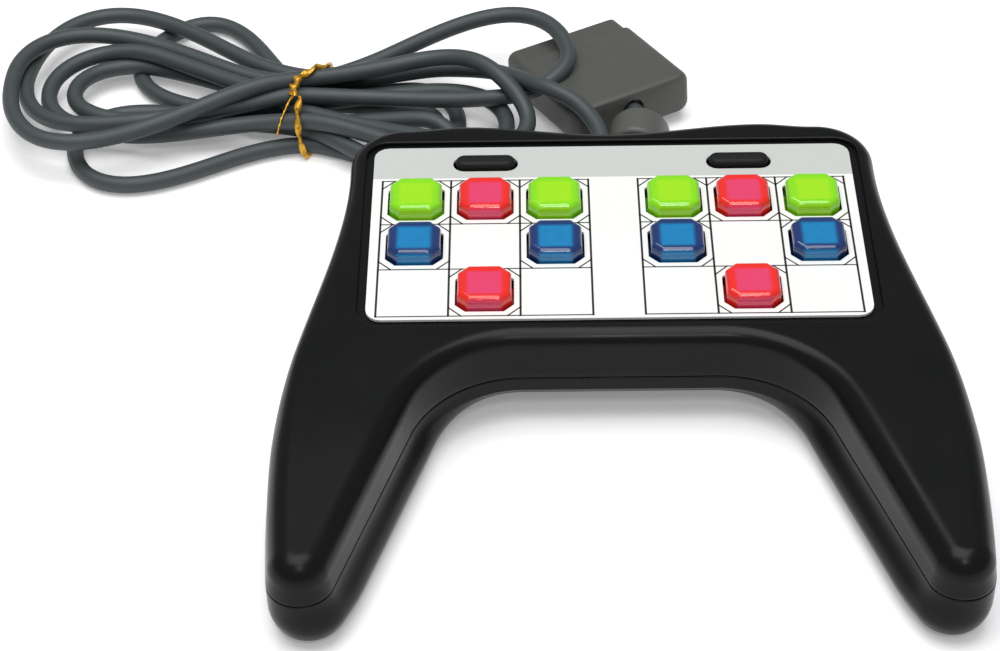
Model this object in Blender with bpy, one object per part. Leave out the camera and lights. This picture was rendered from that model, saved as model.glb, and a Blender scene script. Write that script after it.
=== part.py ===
"""Two-handed gamepad: a two-piece shell with long grips, a printed face plate,
twelve translucent keys, two pill keys and a corded plug.

Metres, +Z up, +X to the right hand, +Y to the rear where the cord leaves.
The pad rests on z = 0 and its own box is centred on x = 0, y = 0.
"""
import math

import bmesh
import bpy
from mathutils import Matrix, Vector

# General clearances and walls
GAP = 0.0003
SHELL_WALL = 0.0022
KEY_SIDE_CLEARANCE = 0.00045
SCREW_CLEARANCE = 0.0004

# Plan of the body
BODY_LENGTH = 0.1740
BODY_SIDE_MARGIN = 0.00505
GRIP_FLARE = 0.0154
REAR_DIP = 0.0042
HUMP_X = 0.0420
SHOULDER_DROP = 0.0015
SHOULDER_RADIUS = 0.0160
FLARE_START = 0.0217
FLARE_END = 0.0416
TIP_PULL = 0.0015
TIP_RADIUS = 0.0085
GRIP_LEAN = math.radians(18.0)
ARCH_MARGIN = 0.0058
ARCH_RADIUS = 0.0300

# Heights of the body
PARTING_Z = 0.0155
BODY_TOP_Z = 0.0294
TIP_DROP = 0.0025
GRIP_START = 0.0078
WALL_DRAFT = 0.0006
BODY_FILLET = 0.0045
GRIP_FILLET = 0.0063
GRIP_FILLET_HEIGHT = 0.0070
CEILING_DEPTH = 0.0035
LOWER_ROUND_HEIGHT = 0.0095
LOWER_ROUND_INSET = 0.0070
FLOOR_THICKNESS = 0.0024
GRIP_SWELL = 0.0040
SWELL_LENGTH = 0.0340
LIP_HEIGHT = 0.0040
OUTER_LEVELS = (1.0, 0.76, 0.52, 0.31, 0.14, 0.0)  # rings of the lower wall, shares of the lip's height
INNER_LEVELS = (0.76, 0.45)

# Face plate and its recess
CELL = 0.0190
BLOCK_GAP = 0.0137
PLATE_SIDE_MARGIN = 0.0027
PLATE_FRONT_MARGIN = 0.0013
PLATE_REAR_BAND = 0.0150
PLATE_CORNER = 0.0042
PLATE_THICKNESS = 0.0007
RECESS_MARGIN = 0.0024
RECESS_DEPTH = 0.0013
REAR_MARGIN = 0.0103

# Square keys
KEY_WIDTH = 0.0143
KEY_CHAMFER = 0.0027
KEY_RISE = 0.0038
KEY_SHOULDER = 0.0019
KEY_CROWN = 0.0021
KEY_POCKET = 0.0096
KEY_TOP_WALL = 0.0017
KEY_STEM_WIDTH = 0.0044
KEY_STEM_DROP = 0.0021
KEY_TRAVEL = 0.0015
PLATE_HOLE_MARGIN = 0.0002
FLANGE_OVERLAP = 0.0010
FLANGE_THICKNESS = 0.0012

# Pill keys
PILL_LENGTH = 0.0166
PILL_WIDTH = 0.0050
PILL_RISE = 0.0019
PILL_CLEARANCE = 0.0006
END_ROUNDNESS = 0.98
PILL_BAND_Y = 0.0074

# Rubber keypads
KEYPAD_THICKNESS = 0.0010
DOME_BASE_RADIUS = 0.0050
DOME_TOP_RADIUS = 0.0030
DOME_WALL = 0.0008
DOME_REST = 0.0020
KEYPAD_MARGIN = 0.0004
KEYPAD_TAB_HALF = 0.0092
STRIP_HALF_WIDTH = 0.0044
STRIP_DOME_RADIUS = 0.0038
STRIP_END_MARGIN = 0.0060

# Circuit board and what it carries
BOARD_THICKNESS = 0.0016
BOARD_SIDE_CLEARANCE = 0.0007
BOARD_FRONT_MARGIN = 0.0028
BOARD_REAR_MARGIN = 0.0117
BOARD_NOTCH_HALF = 0.0060
BOARD_NOTCH_DEPTH = 0.0080
CHIP_SIZE = (0.0180, 0.0100, 0.0024)
CHIP_PLACE = (-0.0200, 0.0380)
RESONATOR_SIZE = (0.0080, 0.0034, 0.0060)
RESONATOR_PLACE = (-0.0200, 0.0520)
CAPACITOR_RADIUS = 0.0025
CAPACITOR_HEIGHT = 0.0070
CAPACITOR_PLACE = (0.0220, 0.0500)
HEADER_SIZE = (0.0160, 0.0070, 0.0055)
HEADER_MARGIN = 0.0033

# Screws and bosses
REAR_SCREW_INSET = (0.0094, 0.0177)
ROOT_SCREW_INSET = (0.0120, 0.0048)
GRIP_SCREW_INSET = (0.0105, 0.0330)
SCREW_RADIUS = 0.0013
SCREW_HEAD_RADIUS = 0.0026
SCREW_HEAD_HEIGHT = 0.0017
CASE_SCREW_LENGTH = 0.0115
BOARD_SCREW_LENGTH = 0.0065
BOSS_WALL = 0.0017
SHELF_Z = 0.0094
COUNTERBORE_WALL = 0.0013
PILOT_EXTRA = 0.0012

# Cord, gland, bead and plug
CORD_RADIUS = 0.0025
GLAND_X = -0.0020
GLAND_NECK_RADIUS = 0.0039
GLAND_FLANGE_RADIUS = 0.0062
GLAND_FLANGE_THICKNESS = 0.0024
GLAND_ROOT_RADIUS = 0.0046
GLAND_TIP_RADIUS = 0.0033
GLAND_LENGTH = 0.0080
HANK_BOTTOM_Z = 0.0013
HANK_HEIGHT = 0.0125
HANK_LEFT_CENTRE = (-0.1420, 0.1340)
HANK_LEFT_RADIUS = 0.0430
HANK_RIGHT_CENTRE = (-0.0590, 0.1330)
HANK_RIGHT_RADIUS = 0.0285
HANK_LEFT_OPENING = math.radians(42)
HANK_RIGHT_OPENING = math.radians(45)
HANK_WAIST = (-0.0900, 0.1240)
HANK_WAIST_HALF = 0.0200
TIE_WIDTH = 0.0030
TIE_THICKNESS = 0.0008
BEAD_RADIUS = 0.0090
BEAD_EDGE = 0.0012
BEAD_NEAR = (0.0082, 0.0960)
BEAD_FAR = (0.0100, 0.1078)
PLUG_PLACE = (0.0086, 0.1156, 0.0037)
PLUG_YAW = math.radians(29.0)
PLUG_PITCH = math.radians(-5.5)
PLUG_WIDTH = 0.0405
PLUG_THICKNESS = 0.0130
PLUG_GRIP_LENGTH = 0.0345
PLUG_LENGTH = 0.0425
PLUG_STEP = 0.0008
PLUG_CORNER = 0.0032
PLUG_EDGE = 0.0020
PLUG_MOUTH_WALL = 0.0015
PLUG_MOUTH_DEPTH = 0.0090
PLUG_HOLE_RADIUS = 0.0035
PLUG_HOLE_DEPTH = 0.0022
INSERT_LENGTH = 0.0072
CONTACT_COUNT = 9
CONTACT_RADIUS = 0.0010
CONTACT_PITCH = 0.0034
CONTACT_DEPTH = 0.0045

# Plan that follows from the driving dimensions
REAR_Y = BODY_LENGTH / 2
TIP_FRONT_Y = -BODY_LENGTH / 2
PLATE_HALF_WIDTH = BLOCK_GAP / 2 + 3 * CELL + PLATE_SIDE_MARGIN
WAIST_HALF_WIDTH = PLATE_HALF_WIDTH + RECESS_MARGIN + BODY_SIDE_MARGIN
GRIP_HALF_WIDTH = WAIST_HALF_WIDTH + GRIP_FLARE
PLATE_REAR_Y = REAR_Y - REAR_MARGIN - RECESS_MARGIN
GRID_REAR_Y = PLATE_REAR_Y - PLATE_REAR_BAND
PLATE_FRONT_Y = GRID_REAR_Y - 3 * CELL - PLATE_FRONT_MARGIN
ARCH_Y = PLATE_FRONT_Y - RECESS_MARGIN - ARCH_MARGIN
GRIP_START_Y = ARCH_Y - GRIP_START
FLARE_START_Y = REAR_Y - FLARE_START
FLARE_END_Y = TIP_FRONT_Y + FLARE_END
BLOCK_CENTRE_X = (BLOCK_GAP + 3 * CELL) / 2
PILL_Y = GRID_REAR_Y + PILL_BAND_Y

# Heights that follow
RECESS_FLOOR_Z = BODY_TOP_Z - RECESS_DEPTH
PLATE_BOTTOM_Z = RECESS_FLOOR_Z + GAP
PLATE_TOP_Z = PLATE_BOTTOM_Z + PLATE_THICKNESS
CEILING_Z = BODY_TOP_Z - CEILING_DEPTH
FLANGE_TOP_Z = CEILING_Z - GAP
FLANGE_BOTTOM_Z = FLANGE_TOP_Z - FLANGE_THICKNESS
STEM_BOTTOM_Z = FLANGE_BOTTOM_Z - KEY_STEM_DROP
DOME_TOP_Z = STEM_BOTTOM_Z - GAP
KEYPAD_TOP_Z = DOME_TOP_Z - KEY_TRAVEL - DOME_REST
KEYPAD_BOTTOM_Z = KEYPAD_TOP_Z - KEYPAD_THICKNESS
BOARD_TOP_Z = KEYPAD_BOTTOM_Z - GAP
BOARD_BOTTOM_Z = BOARD_TOP_Z - BOARD_THICKNESS
UPPER_RIM_Z = PARTING_Z + GAP / 2
LOWER_RIM_Z = PARTING_Z - GAP / 2

# Sizes and places that follow
SHELL_HOLE_WIDTH = KEY_WIDTH + 2 * KEY_SIDE_CLEARANCE
FLANGE_WIDTH = SHELL_HOLE_WIDTH + 2 * FLANGE_OVERLAP
BOSS_RADIUS = SCREW_RADIUS + SCREW_CLEARANCE + BOSS_WALL
COUNTERBORE_RADIUS = SCREW_HEAD_RADIUS + SCREW_CLEARANCE
LOWER_BOSS_RADIUS = COUNTERBORE_RADIUS + COUNTERBORE_WALL
CASE_SCREW_PLACES = (
    (WAIST_HALF_WIDTH - REAR_SCREW_INSET[0], REAR_Y - REAR_SCREW_INSET[1]),
    (WAIST_HALF_WIDTH - ROOT_SCREW_INSET[0], ARCH_Y - ROOT_SCREW_INSET[1]),
    (GRIP_HALF_WIDTH - GRIP_SCREW_INSET[0], TIP_FRONT_Y + GRIP_SCREW_INSET[1]),
)
BOARD_SCREW_PLACES = (
    (-BLOCK_CENTRE_X - CELL, GRID_REAR_Y - 2.5 * CELL),
    (0.0, GRID_REAR_Y - 2.5 * CELL),
    (BLOCK_CENTRE_X + CELL, GRID_REAR_Y - 2.5 * CELL),
    (0.0, GRID_REAR_Y - 0.75 * CELL),
)
BOARD_HALF_WIDTH = CASE_SCREW_PLACES[0][0] - BOSS_RADIUS - BOARD_SIDE_CLEARANCE
BOARD_FRONT_Y = PLATE_FRONT_Y + BOARD_FRONT_MARGIN
BOARD_REAR_Y = REAR_Y - BOARD_REAR_MARGIN
HEADER_REAR_Y = BOARD_REAR_Y - BOARD_NOTCH_DEPTH - HEADER_MARGIN

# Key name, column 0 to 2 from the left of its block, row 0 to 2 from the rear, colour
BLOCK_KEYS = (
    ("rear_left", 0, 0, "green"),
    ("rear_middle", 1, 0, "red"),
    ("rear_right", 2, 0, "green"),
    ("middle_left", 0, 1, "blue"),
    ("middle_right", 2, 1, "blue"),
    ("front_middle", 1, 2, "red"),
)
BLOCKS = (("left", -1), ("right", 1))

# Free routes of the cord, chosen by hand, from the gland and to the bead
LEAD_ROUTE = (
    (-0.0020, 0.0917, 0.0155),
    (-0.0020, 0.0947, 0.0158),
    (-0.0028, 0.0990, 0.0164),
    (-0.0056, 0.1048, 0.0176),
    (-0.0097, 0.1090, 0.0194),
    (-0.0146, 0.1121, 0.0205),
    (-0.0183, 0.1147, 0.0205),
    (-0.0220, 0.1184, 0.0194),
    (-0.0255, 0.1236, 0.0171),
    (-0.0290, 0.1288, 0.0146),
)
TAIL_ROUTE = (
    (-0.0441, 0.1067, 0.0060),
    (-0.0425, 0.1010, 0.0044),
    (-0.0370, 0.0945, 0.0031),
    (-0.0270, 0.0900, 0.0028),
    (-0.0150, 0.0868, 0.0028),
    (-0.0075, 0.0855, 0.0030),
    (-0.0023, 0.0852, 0.0036),
    (0.0030, 0.0866, 0.0054),
    (0.0068, 0.0905, 0.0078),
    (0.0078, 0.0934, 0.0091),
    (0.0081, 0.0954, 0.0093),
)


def clear_scene():
    """Remove every object that the file starts with."""
    for item in list(bpy.data.objects):
        bpy.data.objects.remove(item, do_unlink=True)


def linear(value):
    """One sRGB channel, 0 to 1, as linear light."""
    return value / 12.92 if value <= 0.04045 else ((value + 0.055) / 1.055) ** 2.4


def material(name, colour, roughness, metallic=0.0):
    """A Principled material whose colour is given as an sRGB hex string."""
    made = bpy.data.materials.new(name)
    made.use_nodes = True
    shader = made.node_tree.nodes["Principled BSDF"]
    channels = [int(colour[i:i + 2], 16) / 255 for i in (0, 2, 4)]
    shader.inputs["Base Color"].default_value = [linear(c) for c in channels] + [1.0]
    shader.inputs["Roughness"].default_value = roughness
    shader.inputs["Metallic"].default_value = metallic
    return made


def make_materials():
    """The materials of the pad, by short name."""
    return {
        "shell": material("black_abs", "1d2022", 0.42),
        "plate": material("printed_plate", "f4f5f3", 0.35),
        "green": material("green_key_plastic", "8ee01e", 0.18),
        "red": material("red_key_plastic", "e8283a", 0.18),
        "blue": material("blue_key_plastic", "14679c", 0.18),
        "rubber": material("black_rubber", "1a1b1c", 0.70),
        "keypad": material("keypad_silicone", "c9cbc6", 0.60),
        "board": material("board_laminate", "2f6b3c", 0.50),
        "chip": material("chip_epoxy", "1c1c1e", 0.50),
        "resonator": material("resonator_ceramic", "b8862c", 0.45),
        "capacitor": material("capacitor_sleeve", "24324f", 0.40),
        "header": material("header_nylon", "e6e3d6", 0.50),
        "screw": material("zinc_screw", "b9bcc0", 0.35, 1.0),
        "cord": material("cord_pvc", "464e50", 0.50),
        "bead": material("bead_housing_abs", "565854", 0.50),
        "plug": material("plug_abs", "5a5c58", 0.50),
        "contact": material("contact_block_plastic", "2b2c2c", 0.55),
        "tie": material("gold_tie_foil", "c8962a", 0.30, 1.0),
    }


def add_object(name, mesh_data, finish, location=(0.0, 0.0, 0.0)):
    """Put a mesh or a curve into the scene as a named object with one material."""
    item = bpy.data.objects.new(name, mesh_data)
    if finish is not None and not mesh_data.materials:
        mesh_data.materials.append(finish)
    item.location = location
    bpy.context.scene.collection.objects.link(item)
    return item


def finish_mesh(name, bm, smooth_angle=None):
    """Turn a bmesh into a mesh whose faces point outwards."""
    bmesh.ops.recalc_face_normals(bm, faces=bm.faces[:])
    mesh = bpy.data.meshes.new(name)
    bm.to_mesh(mesh)
    bm.free()
    if smooth_angle is not None:
        mesh.shade_smooth()
        mesh.set_sharp_from_angle(angle=smooth_angle)
    return mesh


def cap_ring(bm, ring):
    """Close a ring of vertices with triangles, also where it is a concave outline."""
    edges = [bm.edges.get((ring[i - 1], ring[i])) for i in range(len(ring))]
    bmesh.ops.triangle_fill(bm, use_beauty=True, edges=edges, normal=(0.0, 0.0, 1.0))


def loft(bm, rings, close_ends=True, convex_ends=True):
    """Join rings of equally many points with quads; close both ends if asked."""
    levels = [[bm.verts.new(point) for point in ring] for ring in rings]
    for below, above in zip(levels, levels[1:]):
        for i in range(len(below)):
            bm.faces.new((below[i - 1], below[i], above[i], above[i - 1]))
    if close_ends:
        for ring in (levels[0], levels[-1]):
            if convex_ends:
                bm.faces.new(ring)
            else:
                cap_ring(bm, ring)
    return levels


def close_loop(bm, levels):
    """Join the last level of a loft back to its first one."""
    first, last = levels[0], levels[-1]
    for i in range(len(first)):
        bm.faces.new((last[i - 1], last[i], first[i], first[i - 1]))


def circle(centre, z, radius, count=12):
    """Points of a level circle."""
    angles = [2 * math.pi * (i + 0.5) / count for i in range(count)]
    return [(centre[0] + radius * math.cos(a), centre[1] + radius * math.sin(a), z) for a in angles]


def octagon(centre, z, width, chamfer):
    """Points of a square with cut corners."""
    far, near = width / 2, width / 2 - chamfer
    corners = ((near, far), (far, near), (far, -near), (near, -far),
               (-near, -far), (-far, -near), (-far, near), (-near, far))
    return [(centre[0] + x, centre[1] + y, z) for x, y in corners]


def rounded_rectangle(centre, half_x, half_y, radius, steps=4):
    """Plan points of a rectangle with round corners."""
    points = []
    for turn, (sign_x, sign_y) in enumerate(((1, 1), (-1, 1), (-1, -1), (1, -1))):
        for step in range(steps + 1):
            angle = math.pi / 2 * (turn + step / steps)
            points.append((centre[0] + sign_x * (half_x - radius) + radius * math.cos(angle),
                           centre[1] + sign_y * (half_y - radius) + radius * math.sin(angle)))
    return points


def prism(bm, plan, bottom, top):
    """A vertical prism over a plan outline."""
    rings = [[(x, y, z) for x, y in plan] for z in (bottom, top)]
    loft(bm, rings, convex_ends=False)


def block(bm, centre, size, bottom):
    """A box standing on the given height."""
    half_x, half_y = size[0] / 2, size[1] / 2
    plan = [(centre[0] + x, centre[1] + y) for x, y in
            ((half_x, half_y), (half_x, -half_y), (-half_x, -half_y), (-half_x, half_y))]
    prism(bm, plan, bottom, bottom + size[2])


def cut_or_join(item, name, bm, operation):
    """Give an object an exact Boolean with a hidden helper built from a bmesh."""
    helper = add_object(name, finish_mesh(name, bm), None)
    helper.hide_render = True
    helper.display_type = "WIRE"
    modifier = item.modifiers.new(name, "BOOLEAN")
    modifier.operation = operation
    modifier.solver = "EXACT"
    modifier.object = helper


def smoothstep(value):
    """Ease from 0 to 1 with level ends."""
    value = min(max(value, 0.0), 1.0)
    return value * value * (3 - 2 * value)


def rear_edge_y(x):
    """Rear edge of the body: two humps, a dip between them and a drop to the shoulder."""
    if abs(x) < HUMP_X:
        return REAR_Y - REAR_DIP * (1 + math.cos(math.pi * x / HUMP_X)) / 2
    share = (abs(x) - HUMP_X) / (WAIST_HALF_WIDTH - SHOULDER_RADIUS - HUMP_X)
    return REAR_Y - SHOULDER_DROP * (1 - math.cos(math.pi * min(share, 1.0))) / 2


def arc(centre, radius, start, end, steps):
    """Plan points along an arc, angles in radians, without its last point."""
    angles = [start + (end - start) * i / steps for i in range(steps)]
    return [(centre[0] + radius * math.cos(a), centre[1] + radius * math.sin(a)) for a in angles]


def half_outline():
    """Right half of the body's plan from rear centre to front centre.

    Each entry is x, y, how much it belongs to the front arch and how much to
    the inner side of the grip.
    """
    rows = []
    shoulder_x = WAIST_HALF_WIDTH - SHOULDER_RADIUS
    shoulder_y = REAR_Y - SHOULDER_DROP - SHOULDER_RADIUS
    rear_steps = 10
    for i in range(rear_steps):
        x = shoulder_x * i / rear_steps
        rows.append((x, rear_edge_y(x), 0.0, 0.0))
    for x, y in arc((shoulder_x, shoulder_y), SHOULDER_RADIUS, math.pi / 2, 0.0, 5):
        rows.append((x, y, 0.0, 0.0))
    rows.append((WAIST_HALF_WIDTH, shoulder_y, 0.0, 0.0))
    flare_steps = 9
    for i in range(flare_steps + 1):
        share = i / flare_steps
        y = FLARE_START_Y + (FLARE_END_Y - FLARE_START_Y) * share
        x = WAIST_HALF_WIDTH + (GRIP_HALF_WIDTH - WAIST_HALF_WIDTH) * smoothstep(share)
        rows.append((x, y, 0.0, 0.0))
    tip_lean = math.atan(2 * TIP_PULL / (FLARE_END_Y - TIP_FRONT_Y - TIP_RADIUS))
    tip = (GRIP_HALF_WIDTH - TIP_PULL - TIP_RADIUS * math.cos(tip_lean), TIP_FRONT_Y + TIP_RADIUS)
    side_end_y = tip[1] - TIP_RADIUS * math.sin(tip_lean)
    side_steps = 3
    for i in range(1, side_steps):
        share = i / side_steps
        y = FLARE_END_Y + (side_end_y - FLARE_END_Y) * share
        rows.append((GRIP_HALF_WIDTH - TIP_PULL * share ** 2, y, 0.0, 0.0))
    tip_steps = 10
    tip_length = TIP_RADIUS * (math.pi - GRIP_LEAN - tip_lean)
    for i, (x, y) in enumerate(arc(tip, TIP_RADIUS, -tip_lean, GRIP_LEAN - math.pi, tip_steps)):
        rows.append((x, y, 0.0, smoothstep(tip_length * i / tip_steps / SWELL_LENGTH)))
    along = Vector((-math.sin(GRIP_LEAN), math.cos(GRIP_LEAN)))
    start = Vector(tip) - TIP_RADIUS * Vector((math.cos(GRIP_LEAN), math.sin(GRIP_LEAN)))
    corner = start + along * (ARCH_Y - start.y) / along.y
    turn = math.pi / 2 - GRIP_LEAN
    tangent = ARCH_RADIUS * math.tan(turn / 2)
    end = corner - along * tangent
    line_steps = 5
    for i in range(line_steps):
        point = start.lerp(end, i / line_steps)
        swell = smoothstep((tip_length + (point - start).length) / SWELL_LENGTH)
        rows.append((point.x, point.y, 0.0, swell))
    centre = (corner.x - tangent, ARCH_Y - ARCH_RADIUS)
    arch_steps = 8
    for i, (x, y) in enumerate(arc(centre, ARCH_RADIUS, GRIP_LEAN, math.pi / 2, arch_steps)):
        share = smoothstep(i / arch_steps)
        rows.append((x, y, share, 1.0 - share))
    rows.append((centre[0], ARCH_Y, 1.0, 0.0))
    rows.append((0.0, ARCH_Y, 1.0, 0.0))
    return rows


def body_outline():
    """The whole plan outline with its outward directions."""
    half = half_outline()
    rows = half + [(-x, y, arch, inner) for x, y, arch, inner in half[-2:0:-1]]
    outline = []
    for i, (x, y, arch, inner) in enumerate(rows):
        before, after = rows[i - 1], rows[(i + 1) % len(rows)]
        along_in = Vector((x - before[0], y - before[1])).normalized()
        along_out = Vector((after[0] - x, after[1] - y)).normalized()
        along = (along_in + along_out).normalized()
        outline.append((x, y, -along.y, along.x, arch, inner))
    return outline


def body_top_z(y):
    """Top of the body, which falls a little towards the grips' tips."""
    return BODY_TOP_Z - TIP_DROP * smoothstep((GRIP_START_Y - y) / (GRIP_START_Y - TIP_FRONT_Y))


def grip_share(y):
    """0 beside the face plate and 1 along the grips."""
    return smoothstep((ARCH_Y - y) / ARCH_RADIUS)


def upper_ring(outline, angle):
    """Outer ring of the top shell; None gives the rim, else the angle up the edge round."""
    ring = []
    for x, y, out_x, out_y, _, _ in outline:
        share = grip_share(y)
        across = BODY_FILLET + (GRIP_FILLET - BODY_FILLET) * share
        up = BODY_FILLET + (GRIP_FILLET_HEIGHT - BODY_FILLET) * share
        if angle is None:
            inset, z = 0.0, UPPER_RIM_Z
        else:
            inset = WALL_DRAFT + across * (1 - math.cos(angle))
            z = body_top_z(y) - up * (1 - math.sin(angle))
        ring.append((x - inset * out_x, y - inset * out_y, z))
    return ring


def upper_inner_ring(outline, step):
    """Inner ring of the top shell: 0 the rim, 1 below the ceiling, 2 the ceiling's edge."""
    ring = []
    for x, y, out_x, out_y, _, _ in outline:
        share = grip_share(y)
        inset = SHELL_WALL + (0.0, WALL_DRAFT, (BODY_FILLET + share * SHELL_WALL) / 3)[step]
        if step == 2:
            inset += share * (GRIP_FILLET - BODY_FILLET) / 2
        ceiling = body_top_z(y) - CEILING_DEPTH
        z = (UPPER_RIM_Z, ceiling - SHELL_WALL, ceiling)[step]
        ring.append((x - inset * out_x, y - inset * out_y, z))
    return ring


def lower_inset(z, arch, inner):
    """How far the lower shell's outside lies inside the plan outline at a height."""
    below = max(LOWER_ROUND_HEIGHT - z, 0.0) / LOWER_ROUND_HEIGHT
    rounded = LOWER_ROUND_INSET * (1 - math.sqrt(1 - min(below, 1.0) ** 2))
    undercut = max(LOWER_RIM_Z - LIP_HEIGHT - z, 0.0)
    swell = GRIP_SWELL * inner * smoothstep((LOWER_RIM_Z - z) / LOWER_ROUND_HEIGHT)
    return rounded * (1 - arch) + undercut * arch - swell


def lower_ring(outline, z, wall=0.0):
    """Ring of the lower shell at a height, moved in by a wall."""
    ring = []
    for x, y, out_x, out_y, arch, inner in outline:
        inset = lower_inset(z, arch, inner) + wall
        ring.append((x - inset * out_x, y - inset * out_y, z))
    return ring


def mirrored(places):
    """Each place and its mirror image about the middle plane."""
    return [(side * x, y) for x, y in places for side in (1, -1)]


def key_places(side):
    """Name, centre and colour of each square key in one block."""
    found = []
    for name, column, row, colour in BLOCK_KEYS:
        x = side * BLOCK_CENTRE_X + (column - 1) * CELL
        y = GRID_REAR_Y - (row + 0.5) * CELL
        found.append((name, (x, y), colour))
    return found


def pill_plan(centre, extra):
    """Plan of a pill key grown by a margin."""
    half_x, half_y = PILL_LENGTH / 2 + extra, PILL_WIDTH / 2 + extra
    return rounded_rectangle(centre, half_x, half_y, half_y * END_ROUNDNESS)


def rear_bore(bm):
    """Cutter for the round hole that holds the gland's neck in the rear wall."""
    radius = GLAND_NECK_RADIUS + GAP
    wall_y = rear_edge_y(GLAND_X)
    rings = []
    for y in (wall_y - 2.5 * SHELL_WALL, wall_y + SHELL_WALL):
        ring = circle((GLAND_X, PARTING_Z), y, radius)
        rings.append([(x, depth, z) for x, z, depth in ring])
    loft(bm, rings)


def make_top_shell(finish):
    """Upper half of the body with the plate's recess, key holes, bosses and posts."""
    outline = body_outline()
    quarter = math.pi / 2
    rings = [upper_ring(outline, None)]
    rings += [upper_ring(outline, quarter * i / 4) for i in range(5)]
    inner = [upper_inner_ring(outline, step) for step in range(3)]
    bm = bmesh.new()
    outer_levels = loft(bm, rings, close_ends=False)
    inner_levels = loft(bm, inner, close_ends=False)
    cap_ring(bm, outer_levels[-1])
    cap_ring(bm, inner_levels[-1])
    close_loop(bm, [outer_levels[0], inner_levels[0]])
    shell = add_object("top_shell", finish_mesh("top_shell", bm, math.radians(35)), finish)

    bosses = bmesh.new()
    embed = CEILING_DEPTH / 3
    pilot = SCREW_RADIUS + SCREW_CLEARANCE
    case_pilot_top = SHELF_Z + CASE_SCREW_LENGTH + PILOT_EXTRA
    board_pilot_top = BOARD_BOTTOM_Z + BOARD_SCREW_LENGTH + PILOT_EXTRA
    post_bottom = BOARD_TOP_Z + GAP
    stands = [(place, UPPER_RIM_Z, case_pilot_top) for place in mirrored(CASE_SCREW_PLACES)]
    stands += [(place, post_bottom, board_pilot_top) for place in BOARD_SCREW_PLACES]
    for place, bottom, pilot_top in stands:
        top = body_top_z(place[1]) - CEILING_DEPTH + embed
        loft(bosses, [circle(place, top, BOSS_RADIUS), circle(place, bottom, BOSS_RADIUS),
                      circle(place, bottom, pilot), circle(place, pilot_top, pilot)])
    cut_or_join(shell, "top_shell_bosses", bosses, "UNION")

    cutters = bmesh.new()
    plate_centre = (0.0, (PLATE_FRONT_Y + PLATE_REAR_Y) / 2)
    plate_half_y = (PLATE_REAR_Y - PLATE_FRONT_Y) / 2
    recess = rounded_rectangle(plate_centre, PLATE_HALF_WIDTH + RECESS_MARGIN,
                               plate_half_y + RECESS_MARGIN, PLATE_CORNER + RECESS_MARGIN)
    prism(cutters, recess, RECESS_FLOOR_Z, BODY_TOP_Z + RECESS_DEPTH)
    cut_or_join(shell, "plate_recess", cutters, "DIFFERENCE")

    holes = bmesh.new()
    bottom, top = CEILING_Z - SHELL_WALL / 2, BODY_TOP_Z
    for _, side in BLOCKS:
        for _, centre, _ in key_places(side):
            loft(holes, [octagon(centre, z, SHELL_HOLE_WIDTH, KEY_CHAMFER) for z in (bottom, top)])
        prism(holes, pill_plan((side * BLOCK_CENTRE_X, PILL_Y), PILL_CLEARANCE), bottom, top)
    rear_bore(holes)
    cut_or_join(shell, "key_holes", holes, "DIFFERENCE")
    return shell


def make_bottom_shell(finish):
    """Lower half of the body: the resting face, the swollen grips and the screw wells."""
    outline = body_outline()
    lip_z = LOWER_RIM_Z - LIP_HEIGHT
    heights = [LOWER_RIM_Z] + [level * lip_z for level in OUTER_LEVELS]
    inner_heights = [LOWER_RIM_Z] + [level * lip_z for level in INNER_LEVELS]
    corner = SHELL_WALL / 3
    bm = bmesh.new()
    outer_levels = loft(bm, [lower_ring(outline, z) for z in heights], close_ends=False)
    inner = [lower_ring(outline, z, SHELL_WALL) for z in inner_heights]
    inner.append(lower_ring(outline, FLOOR_THICKNESS, SHELL_WALL + corner))
    inner_levels = loft(bm, inner, close_ends=False)
    cap_ring(bm, outer_levels[-1])
    cap_ring(bm, inner_levels[-1])
    close_loop(bm, [outer_levels[0], inner_levels[0]])
    shell = add_object("bottom_shell", finish_mesh("bottom_shell", bm, math.radians(35)), finish)

    bosses = bmesh.new()
    for place in mirrored(CASE_SCREW_PLACES):
        levels = (FLOOR_THICKNESS / 2, LOWER_RIM_Z)
        loft(bosses, [circle(place, z, LOWER_BOSS_RADIUS) for z in levels])
    cut_or_join(shell, "bottom_shell_bosses", bosses, "UNION")

    wells = bmesh.new()
    shank = SCREW_RADIUS + SCREW_CLEARANCE
    for place in mirrored(CASE_SCREW_PLACES):
        loft(wells, [circle(place, -FLOOR_THICKNESS, COUNTERBORE_RADIUS),
                     circle(place, SHELF_Z, COUNTERBORE_RADIUS),
                     circle(place, SHELF_Z, shank),
                     circle(place, LOWER_RIM_Z + FLOOR_THICKNESS, shank)])
    rear_bore(wells)
    cut_or_join(shell, "screw_wells", wells, "DIFFERENCE")
    return shell


def make_face_plate(finish):
    """Thin printed plate with a hole for every key."""
    centre = (0.0, (PLATE_FRONT_Y + PLATE_REAR_Y) / 2)
    plan = rounded_rectangle(centre, PLATE_HALF_WIDTH, (PLATE_REAR_Y - PLATE_FRONT_Y) / 2, PLATE_CORNER)
    bm = bmesh.new()
    prism(bm, plan, PLATE_BOTTOM_Z, PLATE_TOP_Z)
    plate = add_object("face_plate", finish_mesh("face_plate", bm), finish)
    holes = bmesh.new()
    bottom, top = PLATE_BOTTOM_Z - PLATE_THICKNESS, PLATE_TOP_Z + PLATE_THICKNESS
    width = SHELL_HOLE_WIDTH + 2 * PLATE_HOLE_MARGIN
    for _, side in BLOCKS:
        for _, place, _ in key_places(side):
            loft(holes, [octagon(place, z, width, KEY_CHAMFER) for z in (bottom, top)])
        slot = pill_plan((side * BLOCK_CENTRE_X, PILL_Y), PILL_CLEARANCE + PLATE_HOLE_MARGIN)
        prism(holes, slot, bottom, top)
    cut_or_join(plate, "plate_holes", holes, "DIFFERENCE")
    return plate


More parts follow.
